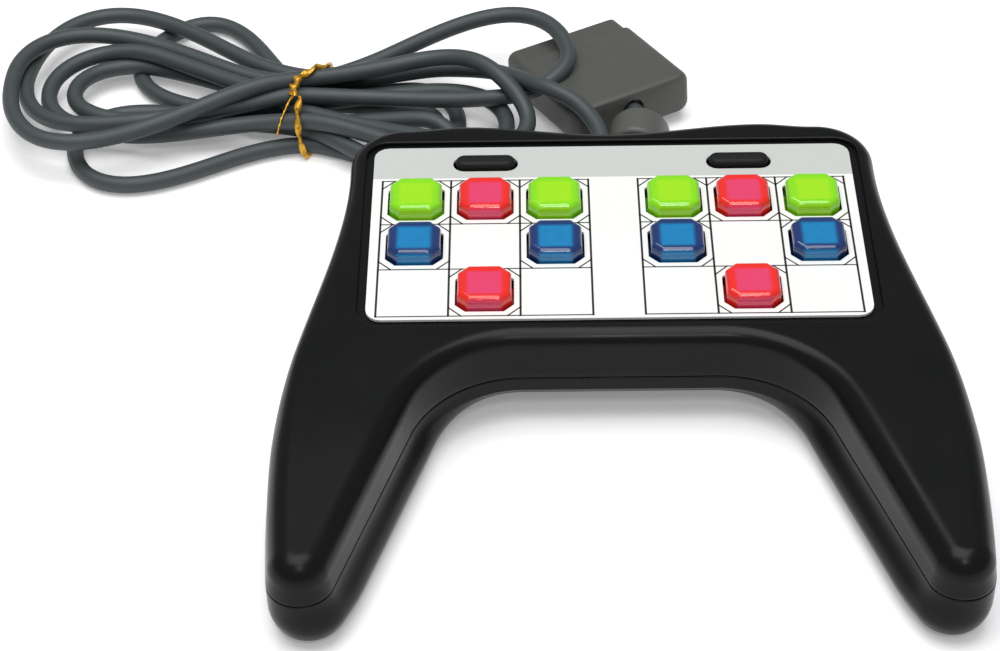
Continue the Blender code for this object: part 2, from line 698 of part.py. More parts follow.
def key_mesh(name):
    """A square key about its own axis, its zero height on the plate's top.

    The outside climbs from the flange to a crowned top; below, a pocket holds
    the stem that presses the rubber dome.
    """
    def ring(width, z, chamfer):
        return octagon((0.0, 0.0), z - PLATE_TOP_Z, width, chamfer)

    top = PLATE_TOP_Z + KEY_RISE
    taper = KEY_CHAMFER / KEY_WIDTH
    crown = KEY_WIDTH - 2 * KEY_SHOULDER
    stem_chamfer = KEY_STEM_WIDTH * (1 - math.sqrt(0.5))
    rings = [
        ring(crown, top, crown * taper),
        ring(crown + 1.2 * KEY_SHOULDER, top - 0.16 * KEY_CROWN, KEY_CHAMFER),
        ring(KEY_WIDTH - 0.2 * KEY_SHOULDER, top - 0.55 * KEY_CROWN, KEY_CHAMFER),
        ring(KEY_WIDTH, top - KEY_CROWN, KEY_CHAMFER),
        ring(KEY_WIDTH, FLANGE_TOP_Z, KEY_CHAMFER),
        ring(FLANGE_WIDTH, FLANGE_TOP_Z, KEY_CHAMFER),
        ring(FLANGE_WIDTH, FLANGE_BOTTOM_Z, KEY_CHAMFER),
        ring(KEY_POCKET, FLANGE_BOTTOM_Z, KEY_POCKET * taper),
        ring(KEY_POCKET, top - KEY_TOP_WALL, KEY_POCKET * taper),
        ring(KEY_STEM_WIDTH, top - KEY_TOP_WALL, stem_chamfer),
        ring(KEY_STEM_WIDTH, STEM_BOTTOM_Z, stem_chamfer),
    ]
    bm = bmesh.new()
    loft(bm, rings)
    return finish_mesh(name, bm)


def make_square_keys(finishes):
    """Twelve keys, each with its origin on the axis that it travels along."""
    meshes = {colour: key_mesh(colour + "_key") for colour in ("green", "red", "blue")}
    for block_name, side in BLOCKS:
        for name, (x, y), colour in key_places(side):
            add_object(f"{block_name}_{name}_key", meshes[colour], finishes[colour],
                       (x, y, PLATE_TOP_Z))


def make_pill_keys(finish):
    """Two rubber pill keys in the rear band of the plate."""
    top = PILL_RISE
    flange_top, flange_bottom = FLANGE_TOP_Z - PLATE_TOP_Z, FLANGE_BOTTOM_Z - PLATE_TOP_Z
    stem_bottom = STEM_BOTTOM_Z - PLATE_TOP_Z
    edge = PILL_RISE / 3
    flange = PILL_CLEARANCE + FLANGE_OVERLAP
    steps = ((-2 * edge, top), (-edge / 2, top - edge / 2), (0.0, top - 1.5 * edge),
             (0.0, flange_top), (flange, flange_top), (flange, flange_bottom))
    rings = [[(x, y, z) for x, y in pill_plan((0.0, 0.0), extra)] for extra, z in steps]
    stem = rounded_rectangle((0.0, 0.0), KEY_STEM_WIDTH / 2, KEY_STEM_WIDTH / 2,
                             KEY_STEM_WIDTH / 2 * END_ROUNDNESS)
    rings += [[(x, y, z) for x, y in stem] for z in (flange_bottom, stem_bottom)]
    bm = bmesh.new()
    loft(bm, rings)
    mesh = finish_mesh("pill_key", bm)
    for block_name, side in BLOCKS:
        add_object(f"{block_name}_pill_key", mesh, finish, (side * BLOCK_CENTRE_X, PILL_Y, PLATE_TOP_Z))


def add_domes(sheet, name, places, base_radius):
    """Join hollow rubber domes to a sheet; each is open towards the board."""
    top_radius = base_radius * DOME_TOP_RADIUS / DOME_BASE_RADIUS
    sides = 8
    embed = KEYPAD_THICKNESS / 2
    domes, hollows = bmesh.new(), bmesh.new()
    for place in places:
        loft(domes, [circle(place, KEYPAD_TOP_Z - embed, base_radius, sides),
                     circle(place, KEYPAD_TOP_Z, base_radius, sides),
                     circle(place, DOME_TOP_Z, top_radius, sides)])
        loft(hollows, [circle(place, KEYPAD_BOTTOM_Z - embed, base_radius - DOME_WALL, sides),
                       circle(place, KEYPAD_TOP_Z, base_radius - DOME_WALL, sides),
                       circle(place, DOME_TOP_Z - DOME_WALL, top_radius - DOME_WALL, sides)])
    cut_or_join(sheet, name + "_domes", domes, "UNION")
    cut_or_join(sheet, name + "_hollows", hollows, "DIFFERENCE")


def make_keypads(finish):
    """A rubber keypad under each block of keys and one strip under the pill keys."""
    rear = GRID_REAR_Y - KEYPAD_MARGIN
    waist = GRID_REAR_Y - 2 * CELL - KEYPAD_MARGIN
    front = GRID_REAR_Y - 2.5 * CELL - DOME_BASE_RADIUS - KEYPAD_THICKNESS
    half = 1.5 * CELL - KEYPAD_MARGIN
    for block_name, side in BLOCKS:
        middle = side * BLOCK_CENTRE_X
        plan = [(middle + x, y) for x, y in (
            (half, rear), (half, waist), (KEYPAD_TAB_HALF, waist), (KEYPAD_TAB_HALF, front),
            (-KEYPAD_TAB_HALF, front), (-KEYPAD_TAB_HALF, waist), (-half, waist), (-half, rear))]
        bm = bmesh.new()
        prism(bm, plan, KEYPAD_BOTTOM_Z, KEYPAD_TOP_Z)
        name = block_name + "_keypad"
        sheet = add_object(name, finish_mesh(name, bm), finish)
        add_domes(sheet, name, [place for _, place, _ in key_places(side)], DOME_BASE_RADIUS)
    strip_half = BLOCK_CENTRE_X + STRIP_DOME_RADIUS + STRIP_END_MARGIN
    bm = bmesh.new()
    block(bm, (0.0, PILL_Y), (2 * strip_half, 2 * STRIP_HALF_WIDTH, KEYPAD_THICKNESS), KEYPAD_BOTTOM_Z)
    strip = add_object("pill_keypad", finish_mesh("pill_keypad", bm), finish)
    places = [(side * BLOCK_CENTRE_X, PILL_Y) for _, side in BLOCKS]
    add_domes(strip, "pill_keypad", places, STRIP_DOME_RADIUS)


def make_board(finish):
    """Circuit board with screw holes and a notch where the lead comes through."""
    notch_y = BOARD_REAR_Y - BOARD_NOTCH_DEPTH
    half, notch = BOARD_HALF_WIDTH, BOARD_NOTCH_HALF
    plan = [(half, BOARD_REAR_Y), (half, BOARD_FRONT_Y), (-half, BOARD_FRONT_Y), (-half, BOARD_REAR_Y),
            (GLAND_X - notch, BOARD_REAR_Y), (GLAND_X - notch, notch_y),
            (GLAND_X + notch, notch_y), (GLAND_X + notch, BOARD_REAR_Y)]
    bm = bmesh.new()
    prism(bm, plan, BOARD_BOTTOM_Z, BOARD_TOP_Z)
    board = add_object("circuit_board", finish_mesh("circuit_board", bm), finish)
    holes = bmesh.new()
    for place in BOARD_SCREW_PLACES:
        rings = [circle(place, z, SCREW_RADIUS + SCREW_CLEARANCE)
                 for z in (BOARD_BOTTOM_Z - BOARD_THICKNESS, BOARD_TOP_Z + BOARD_THICKNESS)]
        loft(holes, rings)
    cut_or_join(board, "board_holes", holes, "DIFFERENCE")
    return board


def make_board_parts(finishes):
    """Chip, resonator, capacitor and lead header under the board."""
    under = BOARD_BOTTOM_Z - GAP
    header_place = (GLAND_X, HEADER_REAR_Y - HEADER_SIZE[1] / 2)
    boxes = (("controller_chip", CHIP_PLACE, CHIP_SIZE, "chip"),
             ("resonator", RESONATOR_PLACE, RESONATOR_SIZE, "resonator"),
             ("lead_header", header_place, HEADER_SIZE, "header"))
    for name, place, size, finish in boxes:
        bm = bmesh.new()
        block(bm, place, size, under - size[2])
        add_object(name, finish_mesh(name, bm), finishes[finish])
    bm = bmesh.new()
    ends = (under - CAPACITOR_HEIGHT, under)
    loft(bm, [circle(CAPACITOR_PLACE, z, CAPACITOR_RADIUS) for z in ends])
    add_object("capacitor", finish_mesh("capacitor", bm, math.radians(40)), finishes["capacitor"])


def screw_mesh(name, length):
    """A pan-head screw along +Z whose head's upper face is at zero height."""
    head, shank = SCREW_HEAD_RADIUS, SCREW_RADIUS
    profile = ((0.6 * head, -SCREW_HEAD_HEIGHT), (head, -0.7 * SCREW_HEAD_HEIGHT), (head, 0.0),
               (shank, 0.0), (shank, length - shank), (0.4 * shank, length))
    bm = bmesh.new()
    loft(bm, [circle((0.0, 0.0), z, radius, 10) for radius, z in profile])
    return finish_mesh(name, bm, math.radians(40))


def make_screws(finish):
    """Six screws that close the case and four that hold the board."""
    case_mesh = screw_mesh("case_screw", CASE_SCREW_LENGTH)
    names = ("rear", "root", "grip")
    for name, (x, y) in zip(names, CASE_SCREW_PLACES):
        for side_name, side in BLOCKS:
            add_object(f"{side_name}_{name}_case_screw", case_mesh, finish, (side * x, y, SHELF_Z - GAP))
    board_mesh = screw_mesh("board_screw", BOARD_SCREW_LENGTH)
    names = ("left", "front", "right", "middle")
    for name, (x, y) in zip(names, BOARD_SCREW_PLACES):
        add_object(f"{name}_board_screw", board_mesh, finish, (x, y, BOARD_BOTTOM_Z - GAP))


def make_gland(finish):
    """Turned rubber gland: inner flange, neck in the rear wall and tapered sleeve."""
    wall_y = rear_edge_y(GLAND_X)
    neck_start = wall_y - SHELL_WALL - WALL_DRAFT
    sleeve_start = wall_y + 1.3 * GAP
    sleeve_end = sleeve_start + GLAND_LENGTH
    profile = ((0.6 * GLAND_FLANGE_RADIUS, neck_start - GLAND_FLANGE_THICKNESS),
               (GLAND_FLANGE_RADIUS, neck_start - GLAND_FLANGE_THICKNESS),
               (GLAND_FLANGE_RADIUS, neck_start), (GLAND_NECK_RADIUS, neck_start),
               (GLAND_NECK_RADIUS, sleeve_start), (GLAND_ROOT_RADIUS, sleeve_start),
               (GLAND_ROOT_RADIUS, sleeve_start + 0.15 * GLAND_LENGTH),
               (GLAND_TIP_RADIUS, sleeve_end))
    rings = []
    for radius, y in profile:
        rings.append([(x, depth, z) for x, z, depth in circle((GLAND_X, PARTING_Z), y, radius)])
    bm = bmesh.new()
    loft(bm, rings)
    add_object("cord_gland", finish_mesh("cord_gland", bm, math.radians(40)), finish)


def catmull(p0, p1, p2, p3, t):
    """A point of the smooth curve between p1 and p2."""
    return 0.5 * (2 * p1 + (p2 - p0) * t + (2 * p0 - 5 * p1 + 4 * p2 - p3) * t * t
                  + (3 * p1 - p0 - 3 * p2 + p3) * t * t * t)


def smooth_route(route, spacing):
    """Read evenly spaced points from the smooth curve through a route."""
    points = [Vector(p) for p in route]
    padded = [2 * points[0] - points[1]] + points + [2 * points[-1] - points[-2]]
    fine = []
    steps = 16
    for i in range(len(points) - 1):
        fine += [catmull(*padded[i:i + 4], step / steps) for step in range(steps)]
    fine.append(points[-1])
    lengths = [0.0]
    for before, after in zip(fine, fine[1:]):
        lengths.append(lengths[-1] + (after - before).length)
    count = max(round(lengths[-1] / spacing), 2)
    spaced, index = [], 0
    for i in range(count + 1):
        wanted = lengths[-1] * i / count
        while index < len(fine) - 2 and lengths[index + 1] < wanted:
            index += 1
        share = (wanted - lengths[index]) / (lengths[index + 1] - lengths[index])
        spaced.append(fine[index].lerp(fine[index + 1], share))
    return spaced


def make_tube(name, route, radius, finish):
    """A round cord along a route, as a curve with a bevel and closed ends."""
    points = smooth_route(route, 2.2 * radius)
    first = (Vector(route[1]) - Vector(route[0])).normalized()
    last = (Vector(route[-2]) - Vector(route[-1])).normalized()
    points.insert(1, points[0] + first * radius / 3)
    points.insert(-1, points[-1] + last * radius / 3)
    curve = bpy.data.curves.new(name, "CURVE")
    curve.dimensions = "3D"
    curve.bevel_depth = radius
    curve.bevel_resolution = 2
    curve.use_fill_caps = True
    spline = curve.splines.new("POLY")
    spline.points.add(len(points) - 1)
    for spline_point, point in zip(spline.points, points):
        spline_point.co = (*point, 1.0)
    return add_object(name, curve, finish)


def on_circle(centre, radius, angle):
    """Plan point of a circle at an angle."""
    return (centre[0] + radius * math.cos(angle), centre[1] + radius * math.sin(angle))


def hank_outline():
    """Plan of the tied hank: two round lobes and the waist that the tie holds."""
    full, steps = 2 * math.pi, 16
    left_end = full - HANK_LEFT_OPENING
    right_start, right_end = HANK_RIGHT_OPENING - math.pi, math.pi - HANK_RIGHT_OPENING
    left = arc(HANK_LEFT_CENTRE, HANK_LEFT_RADIUS, HANK_LEFT_OPENING, left_end, steps)
    left.append(on_circle(HANK_LEFT_CENTRE, HANK_LEFT_RADIUS, left_end))
    right = arc(HANK_RIGHT_CENTRE, HANK_RIGHT_RADIUS, right_start, right_end, steps)
    right.append(on_circle(HANK_RIGHT_CENTRE, HANK_RIGHT_RADIUS, right_end))
    waist_x, waist_y = HANK_WAIST
    low, high = waist_y - HANK_WAIST_HALF, waist_y + HANK_WAIST_HALF
    return (left + [(waist_x - TIE_WIDTH, low), (waist_x + TIE_WIDTH, low)]
            + right + [(waist_x + TIE_WIDTH, high), (waist_x - TIE_WIDTH, high)])


def make_cord(finishes):
    """The cord's stretches, its hank and the tie around the hank's waist."""
    make_tube("cord_lead", LEAD_ROUTE, CORD_RADIUS, finishes["cord"])
    make_tube("cord_tail", TAIL_ROUTE, CORD_RADIUS, finishes["cord"])
    wall_y = rear_edge_y(GLAND_X)
    flange_inner = wall_y - SHELL_WALL - WALL_DRAFT - GLAND_FLANGE_THICKNESS - GAP
    header_z = BOARD_BOTTOM_Z - GAP - HEADER_SIZE[2] / 2
    start = Vector((GLAND_X, flange_inner, PARTING_Z))
    end = Vector((GLAND_X, HEADER_REAR_Y + GAP, header_z))
    straight = Vector((0.0, CORD_RADIUS, 0.0))
    inner_route = [start, start - straight, start.lerp(end, 0.5), end + straight, end]
    make_tube("inner_lead", inner_route, CORD_RADIUS, finishes["cord"])
    bm = bmesh.new()
    prism(bm, hank_outline(), HANK_BOTTOM_Z, HANK_BOTTOM_Z + HANK_HEIGHT)
    add_object("cord_hank", finish_mesh("cord_hank", bm), finishes["cord"])
    bm = bmesh.new()
    levels = []
    middle_z = HANK_BOTTOM_Z + HANK_HEIGHT / 2
    half_y, half_z = HANK_WAIST_HALF + GAP, HANK_HEIGHT / 2 + GAP
    for x, grow in ((-TIE_WIDTH / 2, 0.0), (TIE_WIDTH / 2, 0.0),
                    (TIE_WIDTH / 2, TIE_THICKNESS), (-TIE_WIDTH / 2, TIE_THICKNESS)):
        plan = rounded_rectangle((HANK_WAIST[1], middle_z), half_y + grow, half_z + grow,
                                 TIE_THICKNESS / 4 + grow, 2)
        levels.append([bm.verts.new((HANK_WAIST[0] + x, y, z)) for y, z in plan])
    for below, above in zip(levels, levels[1:] + levels[:1]):
        for i in range(len(below)):
            bm.faces.new((below[i - 1], below[i], above[i], above[i - 1]))
    add_object("twist_tie", finish_mesh("twist_tie", bm), finishes["tie"])


def make_bead(finishes):
    """Round ferrite bead housing on the cord and the short cord on to the plug."""
    centre_z = BEAD_RADIUS + GAP
    near, far = Vector((*BEAD_NEAR, centre_z)), Vector((*BEAD_FAR, centre_z))
    along = (far - near).normalized()
    side = along.cross(Vector((0.0, 0.0, 1.0))).normalized()
    up = side.cross(along)
    length = (far - near).length
    profile = ((BEAD_RADIUS - BEAD_EDGE, 0.0), (BEAD_RADIUS, BEAD_EDGE),
               (BEAD_RADIUS, length - BEAD_EDGE), (BEAD_RADIUS - BEAD_EDGE, length))
    bm = bmesh.new()
    rings = []
    for radius, distance in profile:
        ring = circle((0.0, 0.0), distance, radius, 20)
        rings.append([near + side * x + up * y + along * z for x, y, z in ring])
    loft(bm, rings)
    add_object("ferrite_bead", finish_mesh("ferrite_bead", bm, math.radians(40)), finishes["bead"])
    to_world = plug_matrix()
    entry = to_world @ Vector((0.0, PLUG_HOLE_DEPTH - GAP, PLUG_THICKNESS / 2))
    mouth = to_world @ Vector((0.0, -PLUG_EDGE, PLUG_THICKNESS / 2))
    start = far + along * GAP
    route = [start, start + along * CORD_RADIUS / 2, mouth, entry]
    make_tube("cord_stub", route, CORD_RADIUS, finishes["cord"])


def plug_matrix():
    """Where the plug lies: its own +Y is the way it is pushed in."""
    turn = Matrix.Rotation(PLUG_YAW, 4, "Z") @ Matrix.Rotation(PLUG_PITCH, 4, "X")
    return Matrix.Translation(PLUG_PLACE) @ turn


def plug_ring(half_x, half_z, y, radius):
    """A ring of the plug's section at a distance along it."""
    plan = rounded_rectangle((0.0, PLUG_THICKNESS / 2), half_x, half_z, radius, 3)
    return [(x, y, z) for x, z in plan]


def make_plug(finishes):
    """Plug housing with a grip, a stepped shroud and an open mouth, and its contact block."""
    half_x, half_z = PLUG_WIDTH / 2, PLUG_THICKNESS / 2
    thin_x, thin_z = half_x - PLUG_STEP, half_z - PLUG_STEP
    mouth_x, mouth_z = thin_x - PLUG_MOUTH_WALL, thin_z - PLUG_MOUTH_WALL
    mouth_radius = PLUG_CORNER - PLUG_MOUTH_WALL
    mouth_floor = PLUG_LENGTH - PLUG_MOUTH_DEPTH
    rings = [
        plug_ring(half_x - PLUG_EDGE, half_z - PLUG_EDGE, 0.0, PLUG_CORNER - PLUG_EDGE / 2),
        plug_ring(half_x, half_z, PLUG_EDGE, PLUG_CORNER),
        plug_ring(half_x, half_z, PLUG_GRIP_LENGTH, PLUG_CORNER),
        plug_ring(thin_x, thin_z, PLUG_GRIP_LENGTH + PLUG_STEP, PLUG_CORNER),
        plug_ring(thin_x, thin_z, PLUG_LENGTH, PLUG_CORNER),
        plug_ring(mouth_x, mouth_z, PLUG_LENGTH, mouth_radius),
        plug_ring(mouth_x, mouth_z, mouth_floor, mouth_radius),
    ]
    bm = bmesh.new()
    loft(bm, rings)
    hole = bmesh.new()
    to_world = plug_matrix()
    hole_rings = []
    for y in (-PLUG_HOLE_DEPTH, PLUG_HOLE_DEPTH):
        ring = circle((0.0, half_z), y, PLUG_HOLE_RADIUS)
        hole_rings.append([to_world @ Vector((x, depth, z)) for x, z, depth in ring])
    loft(hole, hole_rings)
    housing = add_object("plug_housing", finish_mesh("plug_housing", bm), finishes["plug"])
    housing.matrix_world = to_world
    cut_or_join(housing, "plug_cord_hole", hole, "DIFFERENCE")

    insert = bmesh.new()
    start = mouth_floor + GAP
    inner_x, inner_z = mouth_x - GAP, mouth_z - GAP
    insert_ends = (start, start + INSERT_LENGTH)
    loft(insert, [plug_ring(inner_x, inner_z, y, mouth_radius - GAP) for y in insert_ends])
    contacts = bmesh.new()
    for i in range(CONTACT_COUNT):
        x = (i - (CONTACT_COUNT - 1) / 2) * CONTACT_PITCH
        rings = []
        for y in (start + INSERT_LENGTH - CONTACT_DEPTH, start + INSERT_LENGTH + CONTACT_DEPTH):
            ring = circle((x, half_z), y, CONTACT_RADIUS, 8)
            rings.append([to_world @ Vector((px, depth, pz)) for px, pz, depth in ring])
        loft(contacts, rings)
    contact_block = add_object("plug_contact_block", finish_mesh("plug_contact_block", insert),
                               finishes["contact"])
    contact_block.matrix_world = to_world
    cut_or_join(contact_block, "contact_holes", contacts, "DIFFERENCE")


def main():
    """Build the whole pad."""
    clear_scene()
    finishes = make_materials()
    make_top_shell(finishes["shell"])
    make_bottom_shell(finishes["shell"])
    make_face_plate(finishes["plate"])
    make_square_keys(finishes)
    make_pill_keys(finishes["rubber"])
    make_keypads(finishes["keypad"])
    make_board(finishes["board"])
    make_board_parts(finishes)
    make_screws(finishes["screw"])
    make_gland(finishes["rubber"])
    make_cord(finishes)
    make_bead(finishes)
    make_plug(finishes)


main()
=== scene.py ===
"""Detailed pieces, finishes and studio of a two-grip gamepad with square press keys.

Laid out as a Blender add-on and run as a script. Metres, +Z up, +X to the
player's right hand, +Y to the rear edge where the cord leaves.
"""
import math

import bmesh
import bpy
import numpy as np
from mathutils import Matrix, Vector
from mathutils.geometry import delaunay_2d_cdt


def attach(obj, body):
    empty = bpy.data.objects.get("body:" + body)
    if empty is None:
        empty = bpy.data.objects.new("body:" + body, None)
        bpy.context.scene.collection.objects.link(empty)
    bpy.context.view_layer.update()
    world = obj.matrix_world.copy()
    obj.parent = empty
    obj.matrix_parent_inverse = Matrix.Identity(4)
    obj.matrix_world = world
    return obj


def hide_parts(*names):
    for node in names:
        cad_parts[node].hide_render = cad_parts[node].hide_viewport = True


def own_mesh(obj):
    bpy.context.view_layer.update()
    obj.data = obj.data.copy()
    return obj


bl_info = {
    "name": "Two-grip gamepad",
    "version": (1, 0, 0),
    "blender": (4, 5, 0),
    "location": "3D Viewport > Sidebar > Gamepad",
    "description": "Detailed pieces, finishes and studio for a corded gamepad",
    "category": "Object",
}

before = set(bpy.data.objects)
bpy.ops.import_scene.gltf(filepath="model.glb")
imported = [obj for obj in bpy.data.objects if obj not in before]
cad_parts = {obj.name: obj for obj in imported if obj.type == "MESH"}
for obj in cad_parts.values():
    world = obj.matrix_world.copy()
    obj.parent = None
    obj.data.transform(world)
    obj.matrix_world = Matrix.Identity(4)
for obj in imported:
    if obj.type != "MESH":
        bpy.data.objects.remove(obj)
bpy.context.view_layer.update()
MERGE_DISTANCE = 0.000002

# Plan of the body, as the frame has it
GAP = 0.0003
SHELL_WALL = 0.0022
REAR_Y, TIP_FRONT_Y = 0.0870, -0.0870
WAIST_HALF_WIDTH, GRIP_HALF_WIDTH = 0.0740, 0.0894
REAR_DIP, HUMP_X = 0.0042, 0.0420
SHOULDER_DROP, SHOULDER_RADIUS = 0.0015, 0.0160
FLARE_START_Y, FLARE_END_Y = 0.0653, -0.0454
TIP_PULL, TIP_RADIUS, GRIP_LEAN = 0.0015, 0.0085, math.radians(18.0)
ARCH_Y, ARCH_RADIUS = -0.0072, 0.0300
GRIP_START_Y = -0.0150

# Heights of the body
PARTING_Z, BODY_TOP_Z, TIP_DROP = 0.0155, 0.0294, 0.0025
WALL_DRAFT = 0.0006
BODY_FILLET, GRIP_FILLET, GRIP_FILLET_HEIGHT = 0.0045, 0.0063, 0.0070
CEILING_DEPTH = 0.0035
LOWER_ROUND_HEIGHT, LOWER_ROUND_INSET = 0.0095, 0.0070
FLOOR_THICKNESS, LIP_HEIGHT = 0.0024, 0.0040
GRIP_SWELL, SWELL_LENGTH = 0.0040, 0.0340
UPPER_RIM_Z, LOWER_RIM_Z = PARTING_Z + GAP / 2, PARTING_Z - GAP / 2
INNER_RING_Z = (FLOOR_THICKNESS + 0.0008, 0.0048, 0.0066, 0.0087, 0.0110, 0.0132)

# Distance between the inner points of a filled plan: the body's top, other faces, the keypads
TOP_GRID, COARSE_GRID, KEYPAD_GRID = 0.0030, 0.0060, 0.0080

# Face plate and its recess
CELL, BLOCK_CENTRE_X = 0.0190, 0.03535
GRID_REAR_Y, PLATE_REAR_Y, PLATE_FRONT_Y = 0.0593, 0.0743, 0.0010
PLATE_HALF_WIDTH, PLATE_CORNER = 0.06655, 0.0042
PLATE_TOP_Z = 0.0291
RECESS_MARGIN, RECESS_DEPTH = 0.0024, 0.0013
RECESS_FLOOR_Z = BODY_TOP_Z - RECESS_DEPTH
HOLE_CORNER, BAND_MARGIN = 0.0004, 0.0011

# Printed lines: share of the line width on rows and columns, and how far the ink goes in and out
ROW_LINE, COLUMN_LINE, INK_SUNK, INK_RAISED = 0.8, 1.15, 0.00002, 0.00003

# Keys, the rubber under them and the board
SHELL_HOLE_WIDTH, KEY_CHAMFER = 0.0152, 0.0027
FLANGE_WIDTH, FLANGE_TOP_Z, FLANGE_BOTTOM_Z = 0.0172, 0.0256, 0.0244
KEY_POCKET, KEY_TOP_WALL, KEY_STEM_WIDTH = 0.0096, 0.0017, 0.0044
STEM_BOTTOM_Z = 0.0223
PILL_LENGTH, PILL_WIDTH, PILL_Y = 0.0166, 0.0050, 0.0667
PILL_CLEARANCE, PILL_FLANGE = 0.0006, 0.0010
DOME_TOP_Z, KEYPAD_TOP_Z, KEYPAD_BOTTOM_Z = 0.0220, 0.0185, 0.0175
KEYPAD_MARGIN, KEYPAD_TAB_HALF, KEYPAD_TAB_LENGTH = 0.0004, 0.0092, 0.0060
PILL_STRIP_END, PILL_STRIP_HALF = 0.0098, 0.0044
DOME_WALL, DOME_RADIUS, PILL_DOME_RADIUS, DOME_LIFT = 0.0008, 0.0050, 0.0038, 0.00002
KEY_TRAVEL, PILL_TRAVEL = 0.0015, 0.0010
BOARD_TOP_Z, BOARD_BOTTOM_Z = 0.0172, 0.0156

# Exponent of a key's top round, dip of its top, and its corners' radius as a share of its width;
# radius of a pill's ends as a share of its half width
KEY_EXPONENT, KEY_DIP, KEY_CORNER, PILL_ROUNDNESS = 2.4, 0.00012, 0.055, 0.98

# Screws and the bosses that take them
CASE_SCREW_PLACES = ((0.0646, 0.0693), (0.0620, -0.0120), (0.0789, -0.0540))
BOARD_SCREW_PLACES = ((-0.05435, 0.0118), (0.0, 0.0118), (0.05435, 0.0118), (0.0, 0.04505))
SCREW_RADIUS, SCREW_HEAD_RADIUS, SCREW_HEAD_HEIGHT = 0.0013, 0.0026, 0.0017
CASE_SCREW_LENGTH, BOARD_SCREW_LENGTH = 0.0115, 0.0065
BOSS_RADIUS, PILOT_RADIUS, PILOT_EXTRA = 0.0034, 0.0017, 0.0012
SHELF_Z, COUNTERBORE_RADIUS, LOWER_BOSS_RADIUS = 0.0094, 0.0030, 0.0043
FOOT_INSET, FOOT_HEIGHT, WELL_CHAMFER = 0.0005, 0.0012, 0.0003
# A screw's head: its flat and its shoulder as shares of its radius, and its crown's depth
HEAD_FLAT, HEAD_SHOULDER, HEAD_CROWN = 0.72, 0.93, 0.00012
THREAD_PITCH, THREAD_DEPTH = 0.0005, 0.00022
CROSS_ARM, CROSS_REACH, CROSS_DEPTH = 0.00042, 0.00165, 0.0008

# Route of the cord from the gland to the hank and from the hank to the plug
LEAD_ROUTE = (
    (-0.0020, 0.0917, 0.0155), (-0.0020, 0.0947, 0.0158), (-0.0028, 0.0990, 0.0164),
    (-0.0056, 0.1048, 0.0176), (-0.0097, 0.1090, 0.0194), (-0.0146, 0.1121, 0.0205),
    (-0.0183, 0.1147, 0.0205), (-0.0220, 0.1184, 0.0194), (-0.0255, 0.1236, 0.0171),
    (-0.0290, 0.1288, 0.0146),
)
TAIL_ROUTE = (
    (-0.0441, 0.1067, 0.0060), (-0.0425, 0.1010, 0.0044), (-0.0370, 0.0945, 0.0031),
    (-0.0270, 0.0900, 0.0028), (-0.0150, 0.0868, 0.0028), (-0.0075, 0.0855, 0.0030),
    (-0.0023, 0.0852, 0.0036), (0.0030, 0.0866, 0.0054), (0.0068, 0.0905, 0.0078),
    (0.0078, 0.0934, 0.0091), (0.0081, 0.0954, 0.0093),
)
CORD_RADIUS = 0.0025
GLAND_X, GLAND_EXIT = -0.0020, (-0.0020, 0.0912, 0.0155)
BEAD_NEAR, BEAD_FAR, BEAD_RADIUS = (0.0082, 0.0960, 0.0093), (0.0100, 0.1078, 0.0093), 0.0090
PLUG_PLACE, PLUG_YAW, PLUG_PITCH = (0.0086, 0.1156, 0.0037), math.radians(29.0), math.radians(-5.5)
PLUG_WIDTH, PLUG_THICKNESS, PLUG_LENGTH, PLUG_GRIP_LENGTH = 0.0405, 0.0130, 0.0425, 0.0345
PLUG_STEP, PLUG_CORNER = 0.0008, 0.0032
PLUG_MOUTH_WALL, PLUG_MOUTH_DEPTH = 0.0015, 0.0090
PLUG_HOLE_RADIUS, PLUG_HOLE_DEPTH = 0.0035, 0.0022

# The hank: its waist, how near to it a strand is tied, the tie's span in y, and the points
# between the lead and the first pass and between the last pass and the tail
WAIST_X, WAIST_REACH, WAIST_SPAN = -0.0900, 0.0050, (0.1106, 0.1392)
HANK_ENTRY = ((-0.0340, 0.1345, 0.0120), (-0.0420, 0.1388, 0.0098),
              (-0.0540, 0.1410, 0.0082), (-0.0710, 0.1378, 0.0075))
HANK_EXIT = ((-0.0570, 0.1150, 0.0075), (-0.0490, 0.1118, 0.0068))
# Each pass of the cord under the tie: y and z
PASSES = (
    (0.1339, 0.0074), (0.1235, 0.0074), (0.1287, 0.0074), (0.1262, 0.0120),
    (0.1183, 0.0074), (0.1131, 0.0074), (0.1261, 0.0029), (0.1313, 0.0029),
    (0.1157, 0.0029), (0.1105, 0.0029), (0.1365, 0.0029), (0.1209, 0.0029),
)
# Each lobe: x and y of its tip, its half widths on the rear and front side, its height,
# or else the points that it runs through
LEFT_LOBES = (
    (-0.1755, 0.1500, 0.0255, 0.0290, 0.0080),
    (-0.1795, 0.1360, 0.0215, 0.0325, 0.0125),
    (-0.1690, 0.1370, 0.0160, 0.0170, 0.0050),
    (-0.1615, 0.1340, 0.0130, 0.0130, 0.0030),
    (-0.1590, 0.1110, 0.0150, 0.0180, 0.0028),
    (-0.1410, 0.1620, 0.0205, 0.0150, 0.0028),
)
RIGHT_LOBES = (
    (-0.0110, 0.1360, 0.0220, 0.0120, 0.0200),
    ((-0.0680, 0.1316, 0.0140), (-0.0559, 0.1345, 0.0155), (-0.0452, 0.1330, 0.0175),
     (-0.0373, 0.1275, 0.0190), (-0.0313, 0.1218, 0.0176), (-0.0262, 0.1160, 0.0142),
     (-0.0236, 0.1100, 0.0112), (-0.0246, 0.1035, 0.0098), (-0.0292, 0.0978, 0.0092),
     (-0.0365, 0.0958, 0.0096), (-0.0450, 0.0972, 0.0104), (-0.0570, 0.1025, 0.0095),
     (-0.0710, 0.1100, 0.0080)),
    (-0.0300, 0.1080, 0.0140, 0.0120, 0.0080),
    (-0.0500, 0.1060, 0.0125, 0.0120, 0.0030),
    (-0.0450, 0.1160, 0.0130, 0.0130, 0.0028),
)

